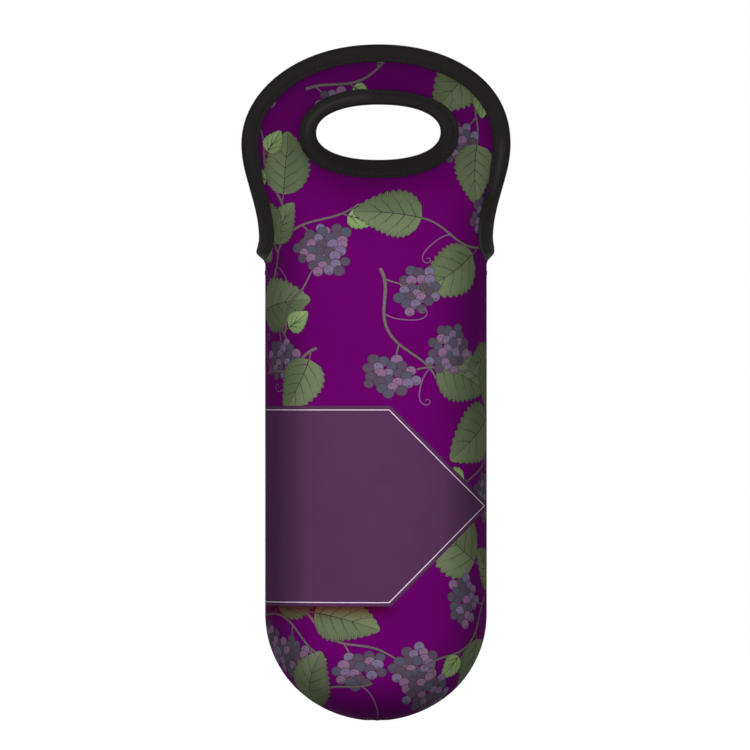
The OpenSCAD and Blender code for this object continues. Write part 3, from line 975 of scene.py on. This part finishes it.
def painted_shade(places, band):
    """How dark the print is made: painted shade towards the rim and hand hole, and a soft shadow
    under the band.
    """
    view = front_view(places)
    to_rim = distance_to(view, SEEN_EDGE)
    # Painted shade, deeper towards the panel's rim and the hand hole
    flat = np.interp(to_rim, RIM_STEPS, HANDLE_PAINTED_SHADE) * np.interp(to_hole(view), HOLE_STEPS, HOLE_PAINTED_SHADE)
    rise = ramp((view[:, 1] - SEAM_TOP) / HANDLE_SHADE_H)
    shade = mix(np.interp(to_rim, RIM_STEPS, POUCH_PAINTED_SHADE), flat, rise)
    below = BAND_LOW - view[:, 1]
    # Painted light: a little lighter low down, below the band
    shade *= 1 + PAINTED_LIGHT_LOW * ramp(below / PAINTED_LIGHT_LOW_H)
    shade = np.repeat(shade[:, None], 3, axis=1)
    if band:
        beside = ramp((SHADOW_END - view[:, 0]) / SHADOW_FADE) * (below > 0.05)
        red = np.interp(below, SHADOW_STEPS, SHADOW_RED)
        blue = np.interp(below, SHADOW_STEPS, SHADOW_BLUE)
        shade *= mix(1, np.stack([red, blue, blue], axis=1), beside[:, None])
    return shade


def panel_layer(side, layer, slot, outside, inside, *printed):
    """One of the three layers of a panel, which stands for that layer of the pouch and handle."""
    piece = sheet_mesh(side + "_panel_" + layer, outside, inside, side == "back", *printed)
    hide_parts(side + "_body_" + layer, side + "_handle_" + layer)
    bend_with_handle(piece)
    return piece


def printed_face(side, sprigs, band):
    """The outer knitted face of one panel, with its print."""
    shapes = []
    for values in sprigs:
        sprig(shapes, *values)
    shapes = shown(shapes + (band_shapes() if band else []))
    return panel_layer(side, "face", "printed_jersey", 0, FACE_T - PARTED, shapes, band)


def foam_core(side):
    return panel_layer(side, "foam", "foam", FACE_T, FACE_T + FOAM_T - PARTED)


def lining(side):
    return panel_layer(side, "lining", "lining_jersey", FACE_T + FOAM_T, SHEET_T)


def bend_with_handle(piece):
    """Puts the piece's place into its mesh, at the origin."""
    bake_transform(piece)


# ---- Bound edges ----

# Half the folded tape's section: distance in from the fold and height above the cloth, from
# the turned-in edge over the row of stitches and the soft middle to the fold
TAPE_SECTION = (
    (9.0, -0.7), (9.25, 0.05), (9.35, 0.45), (9.15, 0.76), (8.75, 0.88), (8.3, 0.84), (7.85, 0.72),
    (7.5, 0.66), (7.15, 0.73), (6.7, 0.9), (5.9, 1.12), (4.7, 1.3), (3.3, 1.35), (1.9, 1.25),
    (0.8, 1.0), (0.0, 0.72), (-0.55, 0.2), (-0.86, -0.6), (-0.92, -1.75),
)
UNDER_SECTION = ((0.6, -1.75), (0.8, -0.7), (4.5, -0.7))
# The row of stitches: its distance in from the fold, and the tape's height there
STITCH_ROW, STITCH_RISE = 7.5, 0.66
EDGE_STEP = 1.15
# Painted highlights on the tape: start, end and how they come and go, for the right flank and
# foot by height and for the ring by turn, and the fold's share all along
FLANK_HIGHLIGHT, FOOT_HIGHLIGHT, RING_HIGHLIGHT = (300, 342, 12, 12), (267, 292, 6, 8), (96, 192, 22, 22)
FOLD_HIGHLIGHT = 0.12
# Middle and reach of each painted highlight strip across the tape, in from the fold
FLANK_STRIP, FOOT_STRIP, RING_STRIP, FOLD_STRIP = (4.2, 1.3), (8.3, 0.8), (4.6, 1.5), (0.5, 1.2)
# A narrow tape puffs up less, down to this share. The tape ripples most this far in from its fold
PUFF_LEAST, RIPPLE_MID, RIPPLE_REACH = 0.25, 5, 3.4
# The inner edge of the tape at its foot, which runs out to the side seam
FOOT_Z = (266.0, 268.5, 272.0, 276.0, 281.0)
FOOT_INNER = (64.2, 62.7, 60.6, 59.4, 59.3)
# Below this height the tape on the flanks gets narrower by this share, over this height
FLANK_NARROW_Z, FLANK_NARROW, FLANK_NARROW_H = 322, 0.15, 12
# Over this height above the knee the foot's tape turns to lie level
LEVEL_H = 5
# The ring of tape is sewn by hand: its share of the full width by the turn in degrees
RING_TURN = (0, 20, 40, 60, 80, 100, 120, 140, 160, 180, 200, 220, 260, 280, 320, 340, 360)
RING_SHARE = (1.03, 0.87, 0.80, 0.81, 0.82, 0.86, 0.90, 0.90, 0.88, 0.95, 1.0, 1.03, 1.05, 1.05,
              1.06, 1.0, 1.03)


def whole_section():
    """The section of the tape: in from the fold, and depth below the outer face of the cloth."""
    over = [(inward, -height) for inward, height in TAPE_SECTION]
    back_over = [(inward, SHEET_T + height) for inward, height in TAPE_SECTION[-2::-1]]
    back_under = [(inward, SHEET_T + height) for inward, height in UNDER_SECTION[:0:-1]]
    under = [(inward, -height) for inward, height in UNDER_SECTION]
    return over + back_over + back_under + under


def tape_points(line, outward, width, fold_way, ripple):
    """Points of a folded tape round a line of the front view, and their places on the tape."""
    points, places = [], []
    run = run_along(line)
    share = width / LEAF_W
    puff = mix(PUFF_LEAST, 1, np.minimum(share, 1))
    around = 0.0
    last = whole_section()[0]
    for inward, depth in whole_section():
        around += math.hypot(inward - last[0], depth - last[1])
        last = (inward, depth)
        flat = laid_flat(line - outward * (np.maximum(inward, 0) * share)[:, None])
        swell = math.exp(-((inward - RIPPLE_MID) / RIPPLE_REACH) ** 2)
        lift = ripple * swell * (1 if depth < SHEET_T / 2 else -1)
        height = depth * puff if depth < 0 else np.where(
            depth > SHEET_T, SHEET_T + (depth - SHEET_T) * puff, depth)
        point = surface(*flat.T, height - lift)
        points.append(point + fold_way * max(-inward, 0) * puff[:, None])
        places.append(pair(run, np.full(len(run), around)))
    return np.stack(points, axis=1), np.stack(places, axis=1)


def tube_faces(rows, columns, ring):
    """Faces of a tube whose rows are closed sections: joined end to end if a ring, else capped."""
    faces = [(r * columns + c, (r + 1) % rows * columns + c,
              (r + 1) % rows * columns + (c + 1) % columns, r * columns + (c + 1) % columns)
             for r in range(rows if ring else rows - 1) for c in range(columns)]
    if not ring:
        last = (rows - 1) * columns
        faces += [tuple(range(columns)), tuple(range(last + columns - 1, last - 1, -1))]
    return faces


def highlight_strip(share_along, middle, reach):
    """How strong the painted highlight is, by row and place in its section."""
    section = np.array(whole_section())
    across = np.exp(-((section[:, 0] - middle) / reach) ** 2) * (section[:, 1] < 0)
    return share_along[:, None] * across[None]


def tape_piece(name, points, places, ring, back, painted_highlight):
    """A tape with masks for its painted highlights and for painted shade along its fold."""
    rows, columns = points.shape[:2]
    points = placed(points.reshape(-1, 3) * MM, back)
    piece = new_piece(name, points, tube_faces(rows, columns, ring))
    set_uv(piece, places.reshape(-1, 2) * MM)
    # Painted shade along the tape's fold, its outer rim
    painted_fold_shade = np.clip((0.3 - np.array(whole_section())[:, 0]) / 0.6, 0, 1)
    for mask, values in (("painted_highlight", painted_highlight.ravel()), ("painted_fold_shade", np.tile(painted_fold_shade, rows))):
        layer = piece.data.attributes.new(mask, "FLOAT", "POINT")
        layer.data.foreach_set("value", values)
    return piece


def edge_line():
    """The handle's cut edge in the front view, its directions outward and the tape's width."""
    right = np.vstack([[(BODY_HALF + 0.1, SEAM_TOP - 0.5)], spaced(handle_edge(), EDGE_STEP)])
    line = both_sides(right)
    x, z = line.T
    along = unit(np.gradient(line, axis=0))
    level = ramp((KNEE_Z + LEVEL_H - z) / LEVEL_H)[:, None]
    outward = unit(mix(pair(along[:, 1], -along[:, 0]), pair(np.sign(x), 0 * x), level))
    flank = LEAF_W * (1 - FLANK_NARROW * ramp((FLANK_NARROW_Z - z) / FLANK_NARROW_H))
    width = np.where(z < FOOT_Z[-1], handle_half(z) - np.interp(z, FOOT_Z, FOOT_INNER), flank)
    return line, outward, np.clip(width, 0.5, LEAF_W)


def edge_tape(side):
    """The folded tape sewn round the free edge of a handle."""
    line, outward, width = edge_line()
    x, z = line.T
    turned = ramp((z - SEAM_TOP) / 7)
    fold_way = np.stack([outward[:, 0] * turned, 1 - turned, outward[:, 1] * turned], axis=1)
    run = np.arange(len(line)) * EDGE_STEP
    ripple = 0.08 * np.sin(run * 0.77) * np.sin(run * 0.128 + 1) + 0.06 * np.sin(run * 0.36 + 2)
    points, places = tape_points(line, outward, width, fold_way, ripple)
    points[..., 1] = np.minimum(points[..., 1], -0.04)
    # Painted highlights on the right flank and foot, and faintly along the fold
    flank, foot = (x > 0) * zone(z, *FLANK_HIGHLIGHT), (x > 0) * zone(z, *FOOT_HIGHLIGHT)
    painted_highlight = (highlight_strip(flank, *FLANK_STRIP) + highlight_strip(foot, *FOOT_STRIP)
           + FOLD_HIGHLIGHT * highlight_strip(1 + 0 * flank, *FOLD_STRIP))
    piece = tape_piece(side + "_edge_tape", points, places, False, side == "back", painted_highlight)
    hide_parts(side + "_edge_binding")
    bend_with_handle(piece)
    return piece


def hole_tape(side):
    """The folded tape sewn round a hand hole, gathered a little at the tight ends."""
    turn = np.linspace(0, 2 * np.pi, 190, endpoint=False)
    line = round_hole(turn, hole_radius(round_hole(turn)))
    line = spaced(line, EDGE_STEP, closed=True)[::-1]
    grown = round_hole(hole_turn(line), hole_radius(line, 1)) - line
    tight = np.abs(line[:, 0] / HOLE_A) ** 4
    run = np.arange(len(line))
    ripple = 0.06 * np.sin(run * 0.53) + 0.16 * tight * np.sin(run * 1.7)
    fold_way = np.stack([-grown[:, 0], 0 * run, -grown[:, 1]], axis=1)
    angle = np.degrees(hole_turn(line)) % 360
    width = LEAF_W * np.interp(angle, RING_TURN, RING_SHARE)
    points, places = tape_points(line, -grown, width, fold_way, ripple)
    # Painted highlight on the ring's upper left arc, and faintly along the fold
    arc = zone(angle, *RING_HIGHLIGHT)
    painted_highlight = highlight_strip(arc, *RING_STRIP) + FOLD_HIGHLIGHT * highlight_strip(1 + 0 * arc, *FOLD_STRIP)
    piece = tape_piece(side + "_hole_tape", points, places, True, side == "back", painted_highlight)
    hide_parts(side + "_hole_binding")
    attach(piece, side + "_handle")
    return piece


# ---- Sewing ----

STITCH_PITCH, STITCH_LEN, STITCH_R = 3.6, 2.7, 0.27
# How a stitch sinks into the tape, from end to end
STITCH_SAG = np.array([0.3, 0.03, -0.04, 0.03, 0.3])
THREAD_SIDES = 6
# The zigzag inside the side seams: its step down them, its reach to each side, the reach as a share
# of the panel's half width near the pole, its height on the lining and its thickness
ZIG_STEP, ZIG_REACH, ZIG_SHARE, ZIG_UP, ZIG_R = 4, 2.8, 0.3, 0.2, 0.3
# The tacks at the seams' tops: threads, their inset from the ends, lean, height on the cloth,
# how far in from the seam they may lie, and thickness
TACK_THREADS, TACK_INSET, TACK_LEAN, TACK_UP, TACK_IN, TACK_R = 9, 0.3, 0.12, 0.12, 0.9, 0.2


def thread_tube(line, ups, radius, flat=0.8):
    """A short rounded piece of thread along a line with a way up at each point."""
    count = len(line)
    along = unit(np.gradient(line, axis=0))
    beside = unit(np.cross(along, ups))
    top = np.cross(beside, along)
    points, faces = [], []
    for i in range(count):
        size = radius * math.sqrt(max(0.12, 1 - (2 * i / (count - 1) - 1) ** 4))
        for s in range(THREAD_SIDES):
            turn = 2 * math.pi * s / THREAD_SIDES
            way = math.cos(turn) * beside[i] + flat * math.sin(turn) * top[i]
            points.append(line[i] + size * way)
    for here in range(0, (count - 1) * THREAD_SIDES, THREAD_SIDES):
        for s in range(THREAD_SIDES):
            a, b = here + s, here + (s + 1) % THREAD_SIDES
            faces.append((a, b, b + THREAD_SIDES, a + THREAD_SIDES))
    faces.append(tuple(range(THREAD_SIDES - 1, -1, -1)))
    faces.append(tuple(range((count - 1) * THREAD_SIDES, count * THREAD_SIDES)))
    return np.array(points), faces


def thread_piece(name, tubes, back, node):
    """One piece of many threads, which stands for a node of the frame."""
    points, faces = [], []
    for tube_points, its_faces in tubes:
        start = sum(len(p) for p in points)
        points.append(tube_points)
        faces += [tuple(start + i for i in face) for face in its_faces]
    piece = new_piece(name, placed(np.vstack(points) * MM, back), faces)
    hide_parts(node)
    return piece


def on_tape(view):
    """Lines of a stitch on the outer leaf of the tape and its twin on the inner, with ways up."""
    flat = laid_flat(view)
    outer = surface(*flat.T, -STITCH_RISE + STITCH_SAG)
    inner = surface(*flat.T, SHEET_T + STITCH_RISE - STITCH_SAG)
    return (outer, outer - inner), (inner, inner - outer)


def stitch_tubes(line):
    """Stitches on a tape along a line of the front view."""
    run = run_along(line)
    count = int(run[-1] // STITCH_PITCH)
    pitch = run[-1] / count
    gap = (pitch - STITCH_LEN) / 2
    tubes = []
    for i in range(count):
        places = np.linspace(i * pitch + gap, (i + 1) * pitch - gap, len(STITCH_SAG))
        tubes += [thread_tube(sewn, ups, STITCH_R)
                  for sewn, ups in on_tape(points_at(places, run, line))]
    return tubes


def edge_stitches(side):
    line, outward, width = edge_line()
    sewn = line - outward * (width * STITCH_ROW / LEAF_W)[:, None]
    tubes = stitch_tubes(sewn[width > 4])
    piece = thread_piece(side + "_edge_stitching", tubes, side == "back", side + "_edge_stitches")
    bend_with_handle(piece)
    return piece


def hole_stitches(side):
    turn = np.linspace(0, 2 * np.pi, 400)
    row = STITCH_ROW * np.interp(np.degrees(turn), RING_TURN, RING_SHARE)
    tubes = stitch_tubes(round_hole(turn, hole_radius(round_hole(turn), row)))
    piece = thread_piece(side + "_hole_stitching", tubes, side == "back", side + "_hole_stitches")
    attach(piece, side + "_handle")
    return piece


def beside_seam(side_sign, y, z, depth):
    """A point of the pouch, y to the front or back of the side seam."""
    z, depth = np.array([z]), np.array([depth])
    flat = side_sign * (cut_half(z) - np.array([abs(y)]) * 1.25)
    point = soft_surface(flat, z, depth)[0]
    return point * (1, -1, 1) if y > 0 else point


def seam_zigzag():
    """The zigzag inside the pouch that holds the two cut edges together."""
    heights = list(np.arange(SEAM_TOP - 5, BOTTOM_H, -ZIG_STEP))
    turns = np.linspace(90, 6, 22)
    heights += [BOTTOM_H * (1 - math.sin(math.radians(t))) for t in turns[1:]]
    places = [(1, z) for z in heights] + [(-1, z) for z in heights[::-1]]
    corners = []
    for i, (side_sign, z) in enumerate(places):
        reach = min(ZIG_REACH, ZIG_SHARE * float(cut_half(np.array([z]))[0]))
        y = reach if i % 2 else -reach
        corners.append(beside_seam(side_sign, y, max(z, 0.6), SHEET_T + ZIG_UP))
    tubes = []
    for a, b in zip(corners, corners[1:]):
        middle = np.array([0, 0, max(min(a[2], SEAM_TOP), BOTTOM_H)])
        line = np.array([mix(a, b, t) for t in np.linspace(0, 1, 4)])
        tubes.append(thread_tube(line, middle - line, ZIG_R))
    piece = thread_piece("inner_seam_zigzag", tubes, False, "seam_thread")
    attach(piece, "pouch")
    return piece


def bar_tack(name, side_sign):
    """Close zigzag threads that lock the top of a side seam."""
    low, high, reach = (frame_size(name, *at) for at in ((LOW, UP), (HIGH, UP), (HIGH, DEEP)))
    tubes = []
    for i in range(TACK_THREADS):
        z = low + TACK_INSET + (high - low - 2 * TACK_INSET) * i / (TACK_THREADS - 1)
        lean = TACK_LEAN * (1 if i % 2 else -1)
        line = []
        for share in np.linspace(-1, 1, 11):
            y = share * reach
            y = y if abs(y) > 0.01 else 0.01
            point = beside_seam(side_sign, y, z + lean * share, -TACK_UP)
            point[0] = side_sign * max(abs(point[0]), BODY_HALF - TACK_IN)
            line.append(point)
        line = np.array(line)
        tubes.append(thread_tube(line, line * (1, 1, 0), TACK_R, 0.9))
    piece = thread_piece(name + "_threads", tubes, False, name)
    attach(piece, "pouch")
    return piece


# ---- Finishes ----

class Sheet:
    """Short calls that add nodes to a material or a group."""

    def __init__(self, tree):
        self.tree = tree

    def node(self, kind, **values):
        node = self.tree.nodes.new(kind)
        for name, value in values.items():
            setattr(node, name, value)
        return node

    def link(self, source, socket):
        """Links a socket to another, or gives it a value."""
        if isinstance(source, bpy.types.NodeSocket):
            self.tree.links.new(source, socket)
        else:
            socket.default_value = source

    def fill(self, node, **sources):
        """Links or sets sockets by name, with _ for each space."""
        for name, source in sources.items():
            self.link(source, node.inputs[name.replace("_", " ")])
        return node

    def math(self, operation, *sources):
        node = self.node("ShaderNodeMath", operation=operation)
        for source, socket in zip(sources, node.inputs):
            self.link(source, socket)
        return node.outputs[0]

    def times(self, *sources):
        return self.math("MULTIPLY", *sources)

    def half_wave(self, steps):
        """0 at each whole step, 1 between two."""
        return self.math("SINE", self.times(self.math("FRACT", steps), math.pi))

    def ramp(self, source, low, high, start, end):
        node = self.node("ShaderNodeMapRange", interpolation_type="SMOOTHSTEP")
        self.fill(node, From_Min=low, From_Max=high, To_Min=start, To_Max=end, Value=source)
        return node.outputs["Result"]

    def noise(self, vector, scale, detail):
        node = self.fill(self.node("ShaderNodeTexNoise"), Vector=vector, Scale=scale, Detail=detail,
                         Roughness=0.6)
        return node.outputs["Fac"]

    def blend(self, factor, first, second, how="MIX"):
        node = self.node("ShaderNodeMix", data_type="RGBA", blend_type=how)
        self.fill(node, Factor=factor)
        self.link(first, node.inputs[6])
        self.link(second, node.inputs[7])
        return node.outputs[2]

    def mask(self, name, output="Fac"):
        return self.node("ShaderNodeAttribute", attribute_name=name).outputs[output]

    def bump(self, shader, height, distance):
        node = self.node("ShaderNodeBump")
        self.fill(node, Strength=1.0, Distance=distance, Height=height)
        self.link(node.outputs[0], shader.inputs["Normal"])

    def mix_shaders(self, factor, first, second):
        node = self.node("ShaderNodeMixShader")
        for source, socket in zip((factor, first, second), node.inputs):
            self.link(source, socket)
        return node.outputs[0]

    def seen_directly(self):
        """1 for rays from the camera and in reflections, 0 for light that falls on things."""
        rays = self.node("ShaderNodeLightPath").outputs
        return self.math("MAXIMUM", rays["Is Camera Ray"], self.math(
            "MAXIMUM", rays["Is Glossy Ray"], rays["Is Transmission Ray"]))


def blank(made):
    """The cleared node tree of a material or world."""
    made.use_nodes = True
    made.node_tree.nodes.clear()
    return Sheet(made.node_tree)


def group(name, inputs, output):
    """An empty node group with named inputs and one output."""
    tree = bpy.data.node_groups.new(name, "ShaderNodeTree")
    for title, value in inputs:
        kind = "NodeSocketVector" if value is None else "NodeSocketFloat"
        socket = tree.interface.new_socket(title, in_out="INPUT", socket_type=kind)
        if value is not None:
            socket.default_value = value
    tree.interface.new_socket(output, in_out="OUTPUT", socket_type="NodeSocketFloat")
    return tree, Sheet(tree), tree.nodes.new("NodeGroupInput"), tree.nodes.new("NodeGroupOutput")


def cloth_group(name, first, second, height_of):
    """A height over the cloth, from steps across it and along it whose sizes are inputs."""
    tree, sheet, start, end = group(name, (("Cloth", None), first, second), "Height")
    split = sheet.node("ShaderNodeSeparateXYZ")
    sheet.link(start.outputs["Cloth"], split.inputs[0])
    steps = [sheet.math("DIVIDE", split.outputs[axis], start.outputs[title])
             for axis, (title, _) in (("X", first), ("Y", second))]
    sheet.link(height_of(sheet, *steps), end.inputs["Height"])
    return tree


def knit_height(sheet, across, up):
    """Rows of small knitted loops: columns of slanted legs, in steps along each column."""
    leg = sheet.math("PINGPONG", across, 0.5)
    loops = sheet.half_wave(sheet.math("ADD", up, sheet.times(leg, 1.5)))
    ridge = sheet.math("SINE", sheet.times(leg, 2 * math.pi))
    return sheet.times(sheet.math("POWER", loops, 0.6),
                       sheet.math("ADD", sheet.times(ridge, 0.7), 0.3))


def weave_height(sheet, along, across):
    """A close woven rib: fine ridges across the tape, broken by the threads along it."""
    shift = sheet.times(sheet.math("FLOOR", across), 0.5)
    ridge = sheet.half_wave(sheet.math("ADD", along, shift))
    thread = sheet.half_wave(across)
    return sheet.times(sheet.math("POWER", ridge, 0.5),
                       sheet.math("ADD", sheet.times(thread, 0.5), 0.5))


def mottle_group():
    """Faint uneven wear and fluff: a slow mottle with fine specks."""
    tree, sheet, start, end = group("soft mottle", (("Place", None),), "Mottle")
    slow = sheet.noise(start.outputs["Place"], 38.0, 3.0)
    fine = sheet.noise(start.outputs["Place"], 1300.0, 2.0)
    sheet.link(sheet.math("ADD", sheet.times(slow, 0.6), sheet.times(fine, 0.4)),
               end.inputs["Mottle"])
    return tree


KNIT = cloth_group("knitted loops", ("Column", 0.0009), ("Row", 0.0007), knit_height)
WEAVE = cloth_group("woven rib", ("Ridge", 0.0006), ("Thread", 0.0005), weave_height)
MOTTLE = mottle_group()


def from_group(sheet, tree, **sources):
    node = sheet.node("ShaderNodeGroup", node_tree=tree)
    return sheet.fill(node, **sources).outputs[0]


def material(name):
    """A new material, its nodes, its shader, and the coordinates that its patterns read."""
    made = bpy.data.materials.new(name)
    sheet = blank(made)
    shader = sheet.node("ShaderNodeBsdfPrincipled")
    sheet.fill(sheet.node("ShaderNodeOutputMaterial"), Surface=shader.outputs[0])
    return made, sheet, shader, sheet.node("ShaderNodeTexCoord").outputs


def varied(sheet, colour, factor, low, high):
    """A colour, darker and lighter where factor says."""
    shade = sheet.ramp(factor, 0.3, 0.7, low, high)
    grey = sheet.node("ShaderNodeCombineColor")
    for socket in grey.inputs[:3]:
        sheet.link(shade, socket)
    return sheet.blend(1.0, colour, grey.outputs[0], "MULTIPLY")


def knitted(name, colour, roughness, sheen):
    """Knitted cloth, dyed one colour or, without one, by its print."""
    made, sheet, shader, places = material(name)
    knit = from_group(sheet, KNIT, Cloth=places["UV"])
    mottle = from_group(sheet, MOTTLE, Place=places["Object"])
    # The print attribute holds the print's colours with their painted shade
    base_colour = sheet.mask("print", "Color") if colour is None else (*colour, 1)
    dyed = varied(sheet, varied(sheet, base_colour, knit, 0.93, 1.03), mottle, 0.95, 1.05)
    rough = sheet.ramp(mottle, 0.2, 0.8, roughness - 0.05, roughness + 0.07)
    sheet.fill(shader, Base_Color=dyed, Roughness=rough, Specular_IOR_Level=0.02,
               Sheen_Weight=sheen, Sheen_Roughness=0.5)
    sheet.bump(shader, knit, 0.00009)
    return made


def foam_finish():
    made, sheet, shader, places = material("closed_cell_foam")
    cells = sheet.node("ShaderNodeTexVoronoi", feature="F1")
    sheet.fill(cells, Scale=2200, Vector=places["Object"])
    deep = cells.outputs["Distance"]
    sheet.fill(shader, Base_Color=varied(sheet, (*linear(46, 44, 46), 1), deep, 0.8, 1.1),
               Roughness=0.88)
    sheet.bump(shader, deep, 0.0001)
    return made


def tape_finish():
    """Black woven tape, with painted highlights and painted shade in its fold."""
    made, sheet, shader, places = material("woven_satin_tape")
    weave = from_group(sheet, WEAVE, Cloth=places["UV"])
    mottle = from_group(sheet, MOTTLE, Place=places["Object"])
    base_colour = varied(sheet, (*linear(23, 19, 20), 1), weave, 0.85, 1.06)
    base_colour = varied(sheet, base_colour, mottle, 0.93, 1.07)
    # Painted highlight where its mask says, then painted shade along the fold
    for mask, colour in (("painted_highlight", (42, 39, 41)), ("painted_fold_shade", (8, 5, 6))):
        base_colour = sheet.blend(sheet.mask(mask), base_colour, (*linear(*colour), 1))
    sheet.fill(shader, Base_Color=base_colour, Roughness=sheet.ramp(mottle, 0.2, 0.8, 0.42, 0.56),
               Specular_IOR_Level=0.06, Sheen_Weight=0.01)
    sheet.bump(shader, weave, 0.00007)
    return made


def thread_finish():
    made, sheet, shader, places = material("twisted_thread")
    wave = sheet.node("ShaderNodeTexWave", wave_type="BANDS", bands_direction="DIAGONAL")
    twist = sheet.fill(wave, Scale=900, Vector=places["Object"]).outputs["Fac"]
    sheet.fill(shader, Base_Color=varied(sheet, (*linear(20, 17, 18), 1), twist, 0.75, 1.15),
               Roughness=0.5, Specular_IOR_Level=0.15)
    sheet.bump(shader, twist, 0.00006)
    return made


def coat(piece, finish):
    piece.data.materials.clear()
    piece.data.materials.append(finish)


# ---- Setting: floor, backdrop, camera and lamps ----

FLOOR_WIDE, FLOOR_THICK = 10.0, 0.04
FLOOR_GLOW, FLOOR_SHADOW = 1.12, 0.14
ROOM_LIGHT = 0.34
CAMERA_FAR, SENSOR = 9.0, 36
# The width and the middle of what the camera sees at the object, in metres
PICTURE_W = 0.4346
PICTURE_X, PICTURE_Z = -0.00056, 0.20045


def floor_finish():
    """White to the camera and in reflections, with the object's shadow still on it."""
    made = bpy.data.materials.new("pale_floor")
    sheet = blank(made)
    direct = sheet.seen_directly()
    glow = sheet.fill(sheet.node("ShaderNodeEmission"), Color=(1, 1, 1, 1), Strength=FLOOR_GLOW)
    dull = sheet.fill(sheet.node("ShaderNodeBsdfDiffuse"), Color=(0.8, 0.8, 0.8, 1))
    both = sheet.mix_shaders(FLOOR_SHADOW, glow.outputs[0], dull.outputs[0])
    out = sheet.mix_shaders(direct, dull.outputs[0], both)
    sheet.fill(sheet.node("ShaderNodeOutputMaterial"), Surface=out)
    return made


def floor():
    """A wide pale floor slab with rounded edges."""
    bpy.ops.object.select_all(action="DESELECT")
    bpy.ops.mesh.primitive_cube_add(size=1)
    slab = bpy.context.object
    slab.name = "floor"
    slab.scale = (FLOOR_WIDE, FLOOR_WIDE, FLOOR_THICK)
    slab.location = (0, 0, -FLOOR_THICK / 2)
    bpy.ops.object.transform_apply(location=True, rotation=True, scale=True)
    edge = slab.modifiers.new("rounded", "BEVEL")
    edge.width, edge.segments = FLOOR_THICK / 4, 3
    bpy.ops.object.modifier_apply(modifier=edge.name)
    coat(slab, floor_finish())


def world():
    """A white room that the camera sees brighter than it lights."""
    made = bpy.data.worlds.new("soft_room")
    bpy.context.scene.world = made
    sheet = blank(made)
    direct = sheet.seen_directly()
    lit, seen = (sheet.fill(sheet.node("ShaderNodeBackground"), Color=(1, 1, 1, 1), Strength=light)
                 for light in (ROOM_LIGHT, 1.0))
    out = sheet.mix_shaders(direct, lit.outputs[0], seen.outputs[0])
    sheet.fill(sheet.node("ShaderNodeOutputWorld"), Surface=out)


def in_scene(name, data, place, turn):
    holder = bpy.data.objects.new(name, data)
    holder.location, holder.rotation_euler = place, turn
    bpy.context.scene.collection.objects.link(holder)
    return holder


def camera():
    data = bpy.data.cameras.new("front_camera")
    data.sensor_width = SENSOR
    data.lens = SENSOR * CAMERA_FAR / PICTURE_W
    data.clip_end = 50
    place = (PICTURE_X, -CAMERA_FAR, PICTURE_Z)
    bpy.context.scene.camera = in_scene("front_camera", data, place, (math.pi / 2, 0, 0))


def lights():
    """Four round soft lamps: name, place, height aimed at, width and power."""
    for name, place, aim, size, power in (
            ("key_lamp", (-0.12, -1.35, 0.33), 0.19, 0.55, 9.95),
            ("left_fill", (-1.3, -0.9, 0.7), 0.2, 0.7, 2.3),
            ("right_fill", (1.4, -0.6, 0.8), 0.2, 0.7, 2.3),
            ("rear_fill", (0.3, 1.5, 1.1), 0.2, 0.8, 9.0)):
        light = bpy.data.lights.new(name, "AREA")
        light.shape, light.size, light.energy = "DISK", size, power
        way = Vector((0, 0, aim)) - Vector(place)
        in_scene(name, light, place, way.to_track_quat("-Z", "Y").to_euler())


# ---- The carrier ----

bpy.context.scene.view_settings.view_transform = "Standard"
camera()
world()
lights()
floor()

PRINTED = knitted("printed_knit", None, 0.74, 0.004)
LINED = knitted("black_knit", linear(30, 28, 30), 0.8, 0.02)
FOAM, TAPE, THREAD = foam_finish(), tape_finish(), thread_finish()

for side, sprigs in (("front", FRONT_SPRIGS), ("back", BACK_SPRIGS)):
    coat(printed_face(side, sprigs, side == "front"), PRINTED)
    for make, finish in ((foam_core, FOAM), (lining, LINED), (edge_tape, TAPE), (hole_tape, TAPE),
                         (edge_stitches, THREAD), (hole_stitches, THREAD)):
        coat(make(side), finish)
coat(seam_zigzag(), THREAD)
coat(bar_tack("left_bar_tack", -1), THREAD)
coat(bar_tack("right_bar_tack", 1), THREAD)
